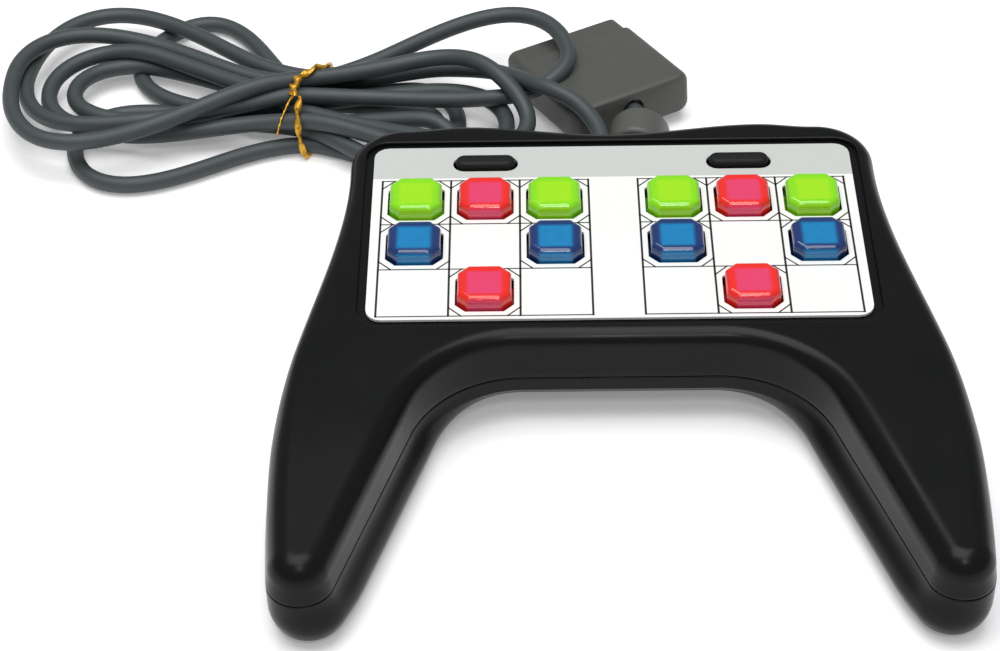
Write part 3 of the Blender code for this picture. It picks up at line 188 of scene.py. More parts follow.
# The tie. Its x at distances along the loop from its top forwards, or back from there if below 0
TIE_LEAN = (
    (0.0, -0.0880), (0.0030, -0.0918), (0.0085, -0.0928), (0.0105, -0.0912), (0.0150, -0.0918),
    (0.0260, -0.0912), (0.0300, -0.0903), (0.0340, -0.0886), (0.0400, -0.0870), (-0.0300, -0.0840),
    (-0.0060, -0.0836), (-0.0001, -0.0878),
)
TIE_KNOT = (0.0030, 0.0090)
TIE_TAIL = ((-0.0944, 0.1152, 0.0160), (-0.0953, 0.1131, 0.0150), (-0.0967, 0.1103, 0.0128),
            (-0.0979, 0.1060, 0.0100))
# Lowest height of the loop, and how near to the waist a strand counts
TIE_FLOOR, TIE_SEARCH = 0.0012, 0.0035
# Width, thickness and turns of the loop's, the knot's and the tail's strip
LOOP_STRIP, KNOT_STRIP, TAIL_STRIP = (0.0022, 0.0012, 6), (0.0018, 0.0010, 1.5), (0.0007, 0.0005, 3)

# The camera, and each lamp: its place, the point that it faces, its side and its power's setting
CAMERA_PLACE, CAMERA_AHEAD = (-0.02368, -0.49782, 0.46786), (-0.01141, 0.74911, -0.66235)
CAMERA_RIGHT, CAMERA_UP = (0.99987, 0.00121, -0.01586), (0.01108, 0.66245, 0.74903)
LAMPS = (("softbox_above", (-0.12, 0.06, 1.28), (0.0, 0.02, 0.0), 1.1, "key_power"),
         ("lamp_in_front", (0.05, -0.85, 1.20), (0.0, 0.0, 0.0), 0.22, "front_power"))
TABLE_HALF, TABLE_Z = 3.0, -0.0001

# Key name, column 0 to 2 from the left of its block, row 0 to 2 from the rear, colour
BLOCK_KEYS = (
    ("rear_left", 0, 0, "green"), ("rear_middle", 1, 0, "red"), ("rear_right", 2, 0, "green"),
    ("middle_left", 0, 1, "blue"), ("middle_right", 2, 1, "blue"), ("front_middle", 1, 2, "red"),
)
BLOCKS = (("left", -1), ("right", 1))

# Sockets of the colour Mix node, which share their names
MIX_SHARE, MIX_FIRST, MIX_SECOND, MIX_RESULT = 0, 6, 7, 2


def colour(text):
    """An sRGB hex string as linear red, green and blue."""
    channels = np.array([int(text[i:i + 2], 16) for i in (0, 2, 4)]) / 255
    curved = ((channels + 0.055) / 1.055) ** 2.4
    return tuple(float(c) for c in np.where(channels <= 0.04045, channels / 12.92, curved))


def colour_setting(name, description, text):
    """A colour that the user can change, with its default as an sRGB hex string."""
    return bpy.props.FloatVectorProperty(name=name, description=description, subtype="COLOR",
                                         size=3, min=0.0, max=1.0, default=colour(text))


def length_setting(name, description, default):
    """A length in metres that the user can change."""
    return bpy.props.FloatProperty(name=name, description=description, unit="LENGTH",
                                   min=0.0, precision=5, default=default)


class GamepadBodySettings(bpy.types.PropertyGroup):
    """Sizes and colours of the shells and the face plate."""
    shell_colour: colour_setting("Shell", "Colour of the moulded shells", "131415")
    recess_lip: length_setting("Recess lip", "Round at the top of the plate's recess", 0.0005)
    rim_round: length_setting("Rim round", "Round at the parting line", 0.00025)
    sheet_colour: colour_setting("Sheet", "Colour of the printed sheet", "f8f9f7")
    band_colour: colour_setting("Band", "Colour of the band with the pill keys", "cdd0cd")
    ink_colour: colour_setting("Ink", "Colour of the printed lines", "16181a")
    line_width: length_setting("Line width", "Width of the printed lines", 0.00050)
    corner_cut: length_setting("Corner cut", "How much the corner lines cut off a cell", 0.0034)


class GamepadKeySettings(bpy.types.PropertyGroup):
    """Sizes and colours of the keys."""
    width: length_setting("Width", "Width of a square key", 0.0143)
    rise: length_setting("Rise", "Height of a square key above the plate", 0.0038)
    shoulder: length_setting("Shoulder", "How far the flat top stands back", 0.0019)
    crown: length_setting("Crown", "Height of the round at the top edge", 0.0021)
    pill_length: length_setting("Pill length", "Length of a pill key", PILL_LENGTH)
    pill_width: length_setting("Pill width", "Width of a pill key", PILL_WIDTH)
    pill_rise: length_setting("Pill rise", "Height of a pill key above the plate", 0.0019)
    green: colour_setting("Green", "Rim of the green keys", "8ae01a")
    green_core: colour_setting("Green core", "Middle of the green keys", "a2e616")
    red: colour_setting("Red", "Rim of the red keys", "f02a22")
    red_core: colour_setting("Red core", "Middle of the red keys", "e6426f")
    blue: colour_setting("Blue", "Rim of the blue keys", "16356e")
    blue_core: colour_setting("Blue core", "Middle of the blue keys", "0f82bd")


class GamepadCordSettings(bpy.types.PropertyGroup):
    """Sizes and colours of the cord and what is on it."""
    diameter: length_setting("Diameter", "Thickness of the cord", 2 * CORD_RADIUS)
    spacing: length_setting("Spacing", "Distance between points while the hank settles", 0.0040)
    cord_colour: colour_setting("Cord", "Colour of the cord's jacket", "434a4c")
    plug_colour: colour_setting("Plug", "Colour of the plug's housing", "535551")
    bead_colour: colour_setting("Bead", "Colour of the bead's housing", "595b57")
    foil_colour: colour_setting("Foil", "Colour of the tie", "e2ac38")


class GamepadStudioSettings(bpy.types.PropertyGroup):
    """Camera and light."""
    lens: bpy.props.FloatProperty(name="Lens", description="Focal length in millimetres",
                                  subtype="DISTANCE_CAMERA", default=91.77)
    table_colour: colour_setting("Table", "Colour of the floor", "fafafa")
    sky_strength: bpy.props.FloatProperty(name="Sky", description="Strength of the even light",
                                          min=0.0, default=0.26)
    key_power: bpy.props.FloatProperty(name="Main lamp", description="Power of the overhead softbox",
                                       unit="POWER", min=0.0, default=15.0)
    front_power: bpy.props.FloatProperty(name="Front lamp", description="Power of the small front lamp",
                                         unit="POWER", min=0.0, default=2.8)


def smoothstep(value):
    """Ease from 0 to 1 with level ends: 3v² - 2v³ of the clipped value."""
    value = np.clip(value, 0.0, 1.0)
    return value * value * (3 - 2 * value)


def add_node(tree, kind, sockets=(), **settings):
    """Add a shader node with its settings; a socket takes a value or another node's output."""
    made = tree.nodes.new("ShaderNode" + kind)
    for field, value in settings.items():
        setattr(made, field, value)
    for socket, value in dict(sockets).items():
        if isinstance(value, bpy.types.NodeSocket):
            tree.links.new(value, made.inputs[socket])
        else:
            made.inputs[socket].default_value = value
    return made


def new_material(name, base, roughness, **sockets):
    """A Principled material with its plain values on the shader's own sockets."""
    made = bpy.data.materials.new(name)
    made.use_nodes = True
    shader = made.node_tree.nodes["Principled BSDF"]
    shader.inputs["Base Color"].default_value = (*base, 1.0)
    shader.inputs["Roughness"].default_value = roughness
    for socket, value in sockets.items():
        shader.inputs[socket.replace("_", " ")].default_value = value
    return made, made.node_tree, shader


def add_grain(tree, shader, colour_in, grain, relief, gloss, shade):
    """Give a surface its grain and its unevenness.

    Fine noise at the grain's size raises the surface by relief; broad noise, in
    patches about 22 mm across, moves the roughness by gloss and darkens the colour
    by shade. colour_in is a linear colour or a node's output.
    """
    place = add_node(tree, "TexCoord").outputs["Object"]
    fine = add_node(tree, "TexNoise", {"Vector": place, "Scale": 1 / grain, "Detail": 3.0})
    broad = add_node(tree, "TexNoise", {"Vector": place, "Scale": 45.0, "Detail": 4.0})
    bump = add_node(tree, "Bump", {"Height": fine.outputs["Fac"], "Strength": 1.0, "Distance": relief})
    tree.links.new(bump.outputs["Normal"], shader.inputs["Normal"])
    middle = shader.inputs["Roughness"].default_value
    rough = add_node(tree, "MapRange", {"Value": broad.outputs["Fac"], "From Min": 0.3, "From Max": 0.7,
                                        "To Min": middle - gloss, "To Max": middle + gloss})
    tree.links.new(rough.outputs["Result"], shader.inputs["Roughness"])
    darker = add_node(tree, "Mix", data_type="RGBA", blend_type="MULTIPLY")
    darker.inputs[MIX_SECOND].default_value = (1 - shade, 1 - shade, 1 - shade, 1.0)
    tree.links.new(broad.outputs["Fac"], darker.inputs[MIX_SHARE])
    if isinstance(colour_in, bpy.types.NodeSocket):
        tree.links.new(colour_in, darker.inputs[MIX_FIRST])
    else:
        darker.inputs[MIX_FIRST].default_value = (*colour_in, 1.0)
    tree.links.new(darker.outputs[MIX_RESULT], shader.inputs["Base Color"])


def moulded(name, base, roughness, grain=0.0004, relief=0.00001, gloss=0.04, shade=0.10, **sockets):
    """A moulded plastic or rubber with the fine texture of its mould."""
    made, tree, shader = new_material(name, base, roughness, **sockets)
    add_grain(tree, shader, base, grain, relief, gloss, shade)
    return made


def spark_eroded_abs(body):
    """ABS from a spark-eroded mould: near black, with a satin that breaks highlights up finely.

    The real texture is about 0.1 mm; it is drawn 0.35 mm coarse so that it shows.
    """
    return moulded("black_abs_spark_texture", tuple(body.shell_colour), 0.29,
                   grain=0.00035, relief=0.000012, gloss=0.05, shade=0.18, Specular_IOR_Level=0.16)


def printed_polyester(body):
    """Back-printed polyester sheet: white with a grey band, even and softly glossy."""
    made, tree, shader = new_material("printed_polyester_sheet", tuple(body.sheet_colour), 0.32)
    place = add_node(tree, "TexCoord").outputs["Object"]
    across = add_node(tree, "SeparateXYZ", {"Vector": place})
    band = add_node(tree, "Math", {0: across.outputs["Y"], 1: GRID_REAR_Y + BAND_MARGIN},
                    operation="GREATER_THAN")
    mixed = add_node(tree, "Mix", {MIX_SHARE: band.outputs[0]}, data_type="RGBA")
    mixed.inputs[MIX_FIRST].default_value = (*body.sheet_colour, 1.0)
    mixed.inputs[MIX_SECOND].default_value = (*body.band_colour, 1.0)
    add_grain(tree, shader, mixed.outputs[MIX_RESULT], 0.0012, 0.000006, 0.04, 0.02)
    return made


def screen_ink(body):
    """Screen-printed ink: dense, thin and slightly matt against the sheet."""
    return moulded("screen_printed_ink", tuple(body.ink_colour), 0.5, relief=0.000004)


def tinted_acrylic(name, rim, core):
    """Polished tinted acrylic: deep colour at the rim, a lighter core where the key is thin.

    The core attribute says how much of the pocket below shows through at each point.
    Clouds about 2.4 mm across vary it, and a ripple of 3.3 mm moves the reflections.
    """
    made, tree, shader = new_material(name, rim, 0.13, IOR=1.49, Coat_Weight=0.35, Coat_Roughness=0.05)
    core_share = add_node(tree, "Attribute", attribute_name="core", attribute_type="GEOMETRY")
    place = add_node(tree, "TexCoord").outputs["Object"]
    cloud = add_node(tree, "TexNoise", {"Vector": place, "Scale": 420.0, "Detail": 2.0})
    shifted = add_node(tree, "MapRange", {"Value": cloud.outputs["Fac"], "To Min": 0.82, "To Max": 1.12})
    share = add_node(tree, "Math", {0: core_share.outputs["Fac"], 1: shifted.outputs["Result"]},
                     operation="MULTIPLY", use_clamp=True)
    mixed = add_node(tree, "Mix", {MIX_SHARE: share.outputs[0]}, data_type="RGBA")
    mixed.inputs[MIX_FIRST].default_value = (*rim, 1.0)
    mixed.inputs[MIX_SECOND].default_value = (*core, 1.0)
    tree.links.new(mixed.outputs[MIX_RESULT], shader.inputs["Base Color"])
    ripple = add_node(tree, "TexNoise", {"Vector": place, "Scale": 300.0, "Detail": 1.0})
    bump = add_node(tree, "Bump", {"Height": ripple.outputs["Fac"], "Distance": 0.00004})
    tree.links.new(bump.outputs["Normal"], shader.inputs["Normal"])
    return made


def cord_pvc(cord):
    """Extruded soft PVC jacket: matt dark grey and faintly uneven, with a grain of 1.1 mm."""
    return moulded("soft_pvc_jacket", tuple(cord.cord_colour), 0.52, grain=0.0011,
                   relief=0.00003, gloss=0.06, shade=0.16)


def gold_foil(cord):
    """Metallised film over a wire: gold, crumpled every 1.1 mm, with brown patches of 1.7 mm."""
    made, tree, shader = new_material("gold_foil_tie", tuple(cord.foil_colour), 0.34, Metallic=0.6)
    place = add_node(tree, "TexCoord").outputs["Object"]
    crease = add_node(tree, "TexVoronoi", {"Vector": place, "Scale": 900.0}, feature="DISTANCE_TO_EDGE")
    bump = add_node(tree, "Bump", {"Height": crease.outputs["Distance"], "Distance": 0.0002})
    tree.links.new(bump.outputs["Normal"], shader.inputs["Normal"])
    patch = add_node(tree, "TexNoise", {"Vector": place, "Scale": 600.0, "Detail": 3.0})
    ramp = add_node(tree, "ValToRGB", {"Fac": patch.outputs["Fac"]})
    ramp.color_ramp.elements[0].color = (*colour("9a5c12"), 1.0)
    ramp.color_ramp.elements[0].position = 0.32
    ramp.color_ramp.elements[1].color = (*cord.foil_colour, 1.0)
    ramp.color_ramp.elements[1].position = 0.52
    tree.links.new(ramp.outputs["Color"], shader.inputs["Base Color"])
    return made


def zinc_plate():
    """Zinc-plated steel: pale bluish metal with a fine, slightly uneven grain."""
    return moulded("zinc_plated_steel", colour("b9bcc0"), 0.34, grain=0.0003, gloss=0.08, shade=0.15,
                   Metallic=1.0)


def solder_mask():
    """Green solder mask over copper tracks: slightly lighter lines, 3 mm and 6 mm apart."""
    made, tree, shader = new_material("solder_mask_laminate", colour("2f6b3c"), 0.38)
    place = add_node(tree, "TexCoord").outputs["Object"]
    dark, green, line = ((*colour(text), 1.0) for text in ("2a6337", "2f6b3c", "4f9154"))
    tracks = add_node(tree, "TexBrick", {"Vector": place, "Scale": 90.0, "Mortar Size": 0.06,
                                         "Color1": dark, "Color2": green, "Mortar": line})
    add_grain(tree, shader, tracks.outputs["Color"], 0.0008, 0.00001, 0.05, 0.12)
    return made


def studio_floor(studio):
    """Matt white table that the camera sees as white while it keeps the shadows."""
    made, tree, shader = new_material("matt_white_table", tuple(studio.table_colour), 0.9,
                                      Specular_IOR_Level=0.1)
    rays = add_node(tree, "LightPath")
    seen = add_node(tree, "Math", {0: rays.outputs["Is Camera Ray"], 1: rays.outputs["Is Glossy Ray"]},
                    operation="MAXIMUM")
    seen = add_node(tree, "Math", {0: seen.outputs[0], 1: rays.outputs["Is Transmission Ray"]},
                    operation="MAXIMUM")
    lift = add_node(tree, "Math", {0: seen.outputs[0], 1: 0.22}, operation="MULTIPLY")
    shader.inputs["Emission Color"].default_value = (1.0, 1.0, 1.0, 1.0)
    tree.links.new(lift.outputs[0], shader.inputs["Emission Strength"])
    return made


def grid_faces(rows, columns, wrap=True):
    """Quads between neighbouring rows of points; wrap joins the last column to the first."""
    row = np.arange(rows - 1)[:, None] * columns
    column = np.arange(columns if wrap else columns - 1)[None]
    beside = (column + 1) % columns
    corners = (row + column, row + beside, row + beside + columns, row + column + columns)
    return np.stack(corners, axis=-1).reshape(-1, 4)


def joined(parts):
    """Points and faces of several parts as one; the faces are counted on."""
    start, points, faces = 0, [], []
    for part_points, part_faces in parts:
        part_points = np.asarray(part_points, float).reshape(-1, 3)
        points.append(part_points)
        faces.extend((np.asarray(part_faces) + start).tolist())
        start += len(part_points)
    return np.concatenate(points), faces


def lofted(rings):
    """Rings of equally many points as one part of quads; rings is rows by points by three."""
    rings = np.asarray(rings, float)
    return rings.reshape(-1, 3), grid_faces(rings.shape[0], rings.shape[1])


def lifted(plan, z):
    """Plan points with a height, which is one number or one for each point."""
    plan = np.asarray(plan, float)
    return np.column_stack([plan, np.broadcast_to(z, len(plan))])


def circle(centre, radius, count=32):
    """Plan points of a circle, counter-clockwise."""
    angle = 2 * np.pi * (np.arange(count) + 0.5) / count
    return np.column_stack([centre[0] + radius * np.cos(angle), centre[1] + radius * np.sin(angle)])


def quarter_round(steps):
    """A rounded edge as pairs: 1 less the sine, which falls from 1, and 1 less the cosine."""
    return [(1 - math.sin(a), 1 - math.cos(a)) for a in np.linspace(0.0, np.pi / 2, steps)]


def turned(profile, centre, count=32):
    """A profile of radius and height turned round an upright axis."""
    return lofted([lifted(circle(centre, radius, count), z) for radius, z in profile])


def rounded_polygon(corners, radius, steps=5, along=3):
    """Plan loop of a convex polygon with round corners, counter-clockwise.

    Each corner is an arc from the normal of one edge to that of the next; the
    straight parts between the arcs are divided evenly.
    """
    corners = np.asarray(corners, float)
    edge = np.roll(corners, -1, 0) - corners
    edge /= np.linalg.norm(edge, axis=1)[:, None]
    before = np.roll(edge, 1, 0)
    normal_in = np.column_stack([before[:, 1], -before[:, 0]])
    normal_out = np.column_stack([edge[:, 1], -edge[:, 0]])
    agree = np.clip((normal_in * normal_out).sum(1), -1.0, 1.0)
    centre = corners - radius * (normal_in + normal_out) / (1 + agree)[:, None]
    angle = (np.arctan2(normal_in[:, 1], normal_in[:, 0])[:, None]
             + np.arccos(agree)[:, None] * np.linspace(0, 1, steps + 1))
    arcs = centre[:, None] + radius * np.stack([np.cos(angle), np.sin(angle)], -1)
    last, first = arcs[:, -1], np.roll(arcs[:, 0], -1, 0)
    share = np.linspace(0, 1, along + 1, endpoint=False)[1:]
    lines = last[:, None] + share[None, :, None] * (first - last)[:, None]
    return np.concatenate([arcs, lines], axis=1).reshape(-1, 2)


def rectangle(centre, half_x, half_y):
    """Corners of a rectangle, counter-clockwise."""
    signs = np.array(((1, -1), (1, 1), (-1, 1), (-1, -1)))
    return np.asarray(centre) + signs * (half_x, half_y)


def octagon(centre, width, chamfer):
    """Corners of a square with cut corners, counter-clockwise."""
    far, near = width / 2, width / 2 - chamfer
    signs = ((far, -near), (far, near), (near, far), (-near, far),
             (-far, near), (-far, -near), (-near, -far), (near, -far))
    return np.asarray(centre) + np.array(signs)


def within(points, loop):
    """Which plan points lie inside a loop, by counting the edges to their right."""
    x, y = points[:, None, 0], points[:, None, 1]
    x0, y0 = loop[None, :, 0], loop[None, :, 1]
    x1, y1 = np.roll(x0, -1, 1), np.roll(y0, -1, 1)
    spans = (y0 > y) != (y1 > y)
    rise = np.where(y1 == y0, 1.0, y1 - y0)
    return (spans & (x < x0 + (y - y0) / rise * (x1 - x0))).sum(1) % 2 == 1


def filled(outer, holes, height, spacing):
    """Triangles over a plan inside an outer loop and outside holes.

    height gives z from arrays of x and y, so a level grid of inner points follows
    the surface. The loops' own points are used, so that neighbours join them.
    """
    loops = [np.asarray(outer)[:, :2]] + [np.asarray(hole)[:, :2] for hole in holes]
    rim = np.concatenate(loops)
    low, high = loops[0].min(0), loops[0].max(0)
    grid = np.stack(np.meshgrid(np.arange(low[0], high[0], spacing),
                                np.arange(low[1], high[1], spacing)), -1).reshape(-1, 2)
    near = ((grid[:, None] - rim[None]) ** 2).sum(-1).min(1) < (0.5 * spacing) ** 2
    grid = grid[~near & within(grid, loops[0])]
    for hole in loops[1:]:
        grid = grid[~within(grid, hole)]
    points = np.concatenate([rim, grid])
    edges, start = [], 0
    for loop in loops:
        index = np.arange(len(loop))
        edges += (np.column_stack([index, (index + 1) % len(loop)]) + start).tolist()
        start += len(loop)
    found = delaunay_2d_cdt([Vector(p) for p in points], edges, [], 0, 1e-7)
    places = np.array([tuple(v) for v in found[0]])
    triangles = np.array([list(face) for face in found[2]])
    centre = places[triangles].mean(1)
    keep = within(centre, loops[0])
    for hole in loops[1:]:
        keep &= ~within(centre, hole)
    return lifted(places, height(places[:, 0], places[:, 1])), triangles[keep]


def flat(z):
    """A height function that is the same everywhere."""
    return lambda x, y: np.full(len(x), z)


def linked(name, data):
    """A new object for some data, at the scene's origin."""
    item = bpy.data.objects.new(name, data)
    bpy.context.scene.collection.objects.link(item)
    return item


def plain_mesh(name, points, faces, finish):
    """A mesh from points and faces as they are, with one finish."""
    mesh = bpy.data.meshes.new(name)
    mesh.from_pydata(points, [], faces)
    mesh.materials.append(finish)
    return mesh


def make_piece(name, parts, finish, body, replaced=(), smooth=35, attribute=None):
    """Make a closed piece from parts: merge their seams and poles, and face them outwards.

    attribute is a name and a value for each point before merging.
    """
    mesh = plain_mesh(name, *joined(parts), finish)
    if attribute is not None:
        layer = mesh.attributes.new(attribute[0], "FLOAT", "POINT")
        layer.data.foreach_set("value", np.asarray(attribute[1], float))
    work = bmesh.new()
    work.from_mesh(mesh)
    bmesh.ops.remove_doubles(work, verts=work.verts[:], dist=MERGE_DISTANCE)
    bmesh.ops.recalc_face_normals(work, faces=work.faces[:])
    work.to_mesh(mesh)
    work.free()
    mesh.shade_smooth()
    mesh.set_sharp_from_angle(angle=math.radians(smooth))
    item = linked(name, mesh)
    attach(item, body)
    if replaced:
        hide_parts(*replaced)
    return item


def refinish(finish, *names):
    """Give CAD nodes that keep their shape a better material."""
    for name in names:
        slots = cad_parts[name].data.materials
        slots.clear()
        slots.append(finish)


def rear_edge_y(x):
    """Rear edge of the body: two cosine humps, a dip between them, a drop to the shoulder."""
    dip = REAR_Y - REAR_DIP * (1 + np.cos(np.pi * x / HUMP_X)) / 2
    share = np.clip((np.abs(x) - HUMP_X) / (WAIST_HALF_WIDTH - SHOULDER_RADIUS - HUMP_X), 0.0, 1.0)
    drop = REAR_Y - SHOULDER_DROP * (1 - np.cos(np.pi * share)) / 2
    return np.where(np.abs(x) < HUMP_X, dip, drop)


def arc_rows(centre, radius, start, end, steps):
    """Plan points along an arc, angles in radians, without its last point."""
    angle = np.linspace(start, end, steps, endpoint=False)
    return np.column_stack([centre[0] + radius * np.cos(angle), centre[1] + radius * np.sin(angle)])


def body_outline():
    """Plan of the body as rows of x, y, outward x, outward y, arch share, inner share.

    Right half: humped rear edge, shoulder arc, smoothstep flare to the grip, side
    pulled in by a parabola, arc round the tip, straight inner side, arc into the
    front arch, level front. The inner share grows by smoothstep from the tip's
    outer side. The left half is its mirror image. The outward direction is across
    the mean of the two neighbouring edges.
    """
    shoulder = (WAIST_HALF_WIDTH - SHOULDER_RADIUS, REAR_Y - SHOULDER_DROP - SHOULDER_RADIUS)
    tip_lean = math.atan(2 * TIP_PULL / (FLARE_END_Y - TIP_FRONT_Y - TIP_RADIUS))
    tip = np.array((GRIP_HALF_WIDTH - TIP_PULL - TIP_RADIUS * math.cos(tip_lean), TIP_FRONT_Y + TIP_RADIUS))
    rear_x = np.linspace(0.0, shoulder[0], 44, endpoint=False)
    rear = np.column_stack([rear_x, rear_edge_y(rear_x)])
    corner_arc = arc_rows(shoulder, SHOULDER_RADIUS, np.pi / 2, 0.0, 20)
    share = np.linspace(0.0, 1.0, 60)
    flare = np.column_stack([
        WAIST_HALF_WIDTH + (GRIP_HALF_WIDTH - WAIST_HALF_WIDTH) * smoothstep(share),
        FLARE_START_Y + (FLARE_END_Y - FLARE_START_Y) * share])
    side_y = np.linspace(shoulder[1], FLARE_START_Y, 6, endpoint=False)
    side = np.column_stack([np.full(6, WAIST_HALF_WIDTH), side_y])
    pull = np.linspace(0.0, 1.0, 24, endpoint=False)[1:]
    low_end_y = tip[1] - TIP_RADIUS * math.sin(tip_lean)
    low = np.column_stack([GRIP_HALF_WIDTH - TIP_PULL * pull ** 2,
                           FLARE_END_Y + (low_end_y - FLARE_END_Y) * pull])
    tip_arc = arc_rows(tip, TIP_RADIUS, -tip_lean, GRIP_LEAN - np.pi, 48)
    tip_length = TIP_RADIUS * (np.pi - GRIP_LEAN - tip_lean)
    along = np.array((-math.sin(GRIP_LEAN), math.cos(GRIP_LEAN)))
    start = tip - TIP_RADIUS * np.array((math.cos(GRIP_LEAN), math.sin(GRIP_LEAN)))
    corner = start + along * (ARCH_Y - start[1]) / along[1]
    tangent = ARCH_RADIUS * math.tan((math.pi / 2 - GRIP_LEAN) / 2)
    end = corner - along * tangent
    line = start + np.linspace(0.0, 1.0, 24, endpoint=False)[:, None] * (end - start)
    centre = (corner[0] - tangent, ARCH_Y - ARCH_RADIUS)
    bend = arc_rows(centre, ARCH_RADIUS, GRIP_LEAN, np.pi / 2, 40)
    front_x = np.linspace(centre[0], 0.0, 24)
    front = np.column_stack([front_x, np.full(24, ARCH_Y)])
    plan = np.concatenate([rear, corner_arc, side, flare, low, tip_arc, line, bend, front])
    before_tip = len(rear) + len(corner_arc) + len(side) + len(flare) + len(low)
    after_line = before_tip + len(tip_arc) + len(line)
    after_bend = after_line + len(bend)
    arch, inner = np.zeros(len(plan)), np.zeros(len(plan))
    round_tip = tip_length * np.arange(len(tip_arc)) / len(tip_arc)
    along_line = tip_length + np.linalg.norm(line - start, axis=1)
    inner[before_tip:after_line] = smoothstep(np.concatenate([round_tip, along_line]) / SWELL_LENGTH)
    arch[after_line:after_bend] = smoothstep(np.arange(len(bend)) / len(bend))
    inner[after_line:after_bend] = 1.0 - arch[after_line:after_bend]
    arch[after_bend:] = 1.0
    half = np.column_stack([plan, arch, inner])
    mirror = half[-2:0:-1] * (-1, 1, 1, 1)
    rows = np.concatenate([half, mirror])[::-1]
    step = np.roll(rows[:, :2], -1, 0) - rows[:, :2]
    step /= np.linalg.norm(step, axis=1)[:, None]
    mean = step + np.roll(step, 1, 0)
    mean /= np.linalg.norm(mean, axis=1)[:, None]
    return np.column_stack([rows[:, :2], mean[:, 1], -mean[:, 0], rows[:, 2:]])


def body_top_z(y):
    """Top of the body, which falls by smoothstep towards the grips' tips."""
    return BODY_TOP_Z - TIP_DROP * smoothstep((GRIP_START_Y - y) / (GRIP_START_Y - TIP_FRONT_Y))


def top_height(x, y):
    """Height of the body's top face over the plan."""
    return body_top_z(y)


def ceiling_height(x, y):
    """Height of the top shell's inner face over the plan."""
    return body_top_z(y) - CEILING_DEPTH


def inset_ring(outline, inset, z):
    """Ring of the body moved inwards by an inset and put at a height."""
    inset = np.broadcast_to(inset, len(outline))[:, None]
    return lifted(outline[:, :2] - inset * outline[:, 2:4], z)


def top_shell_parts(body):
    """Upper shell: drafted wall, elliptic edge round, recess with a rounded lip, holes, bosses."""
    outline = body_outline()
    y, share = outline[:, 1], smoothstep((ARCH_Y - outline[:, 1]) / ARCH_RADIUS)
    across = BODY_FILLET + (GRIP_FILLET - BODY_FILLET) * share
    up = BODY_FILLET + (GRIP_FILLET_HEIGHT - BODY_FILLET) * share
    inner_edge = SHELL_WALL + (BODY_FILLET + share * SHELL_WALL) / 3 + share * (GRIP_FILLET - BODY_FILLET) / 2
    ceiling = body_top_z(y) - CEILING_DEPTH
    rings = [inset_ring(outline, inner_edge, ceiling),
             inset_ring(outline, SHELL_WALL + WALL_DRAFT, ceiling - SHELL_WALL),
             inset_ring(outline, SHELL_WALL, UPPER_RIM_Z)]
    rings[0][:, 2] = ceiling_height(rings[0][:, 0], rings[0][:, 1])
    edge = body.rim_round
    rings += [inset_ring(outline, edge * fall, UPPER_RIM_Z + edge * rise) for fall, rise in quarter_round(4)]
    wall_top = body_top_z(y) - up
    for level in np.linspace(0.0, 1.0, 6)[1:-1]:
        rings.append(inset_ring(outline, WALL_DRAFT * level, UPPER_RIM_Z + (wall_top - UPPER_RIM_Z) * level))
    for fall, rise in quarter_round(16):
        ring = inset_ring(outline, WALL_DRAFT + across * rise, 0.0)
        ring[:, 2] = top_height(ring[:, 0], ring[:, 1]) - up * fall
        rings.append(ring)
    parts = [lofted(rings)]

    centre = (0.0, (PLATE_FRONT_Y + PLATE_REAR_Y) / 2)
    half_y = (PLATE_REAR_Y - PLATE_FRONT_Y) / 2

    def recess(grow):
        corners = rectangle(centre, PLATE_HALF_WIDTH + grow, half_y + grow)
        return rounded_polygon(corners, PLATE_CORNER + grow, 10, 24)

    lip = body.recess_lip
    lips = [lifted(recess(RECESS_MARGIN + lip * fall), BODY_TOP_Z - lip * rise)
            for fall, rise in quarter_round(7)]
    lips.append(lifted(recess(RECESS_MARGIN), RECESS_FLOOR_Z))
    parts.append(lofted(lips))
    parts.append(filled(rings[-1], [lips[0]], top_height, TOP_GRID))

    holes = []
    for _, side in BLOCKS:
        holes += [rounded_polygon(octagon(place, SHELL_HOLE_WIDTH, KEY_CHAMFER), HOLE_CORNER, 2, 2)
                  for _, place, _ in key_places(side)]
        holes.append(pill_plan((side * BLOCK_CENTRE_X, PILL_Y), PILL_LENGTH, PILL_WIDTH, PILL_CLEARANCE))
    parts.append(filled(lips[-1], holes, flat(RECESS_FLOOR_Z), COARSE_GRID))
    under = BODY_TOP_Z - CEILING_DEPTH
    parts += [lofted([lifted(hole, RECESS_FLOOR_Z), lifted(hole, under)]) for hole in holes]

    case_top = SHELF_Z + CASE_SCREW_LENGTH + PILOT_EXTRA
    board_top = BOARD_BOTTOM_Z + BOARD_SCREW_LENGTH + PILOT_EXTRA
    stands = [((side * x, y), UPPER_RIM_Z, case_top) for x, y in CASE_SCREW_PLACES for _, side in BLOCKS]
    stands += [(place, BOARD_TOP_Z + GAP, board_top) for place in BOARD_SCREW_PLACES]
    feet = []
    for place, bottom, pilot_top in stands:
        foot = circle(place, BOSS_RADIUS)
        feet.append(foot)
        points, faces = turned(((BOSS_RADIUS, 0.0), (BOSS_RADIUS, bottom), (PILOT_RADIUS, bottom),
                                (PILOT_RADIUS, pilot_top), (0.0, pilot_top)), place)
        points[:len(foot), 2] = ceiling_height(foot[:, 0], foot[:, 1])
        parts.append((points, faces))
    parts.append(filled(rings[0], holes + feet, ceiling_height, COARSE_GRID))
    return parts


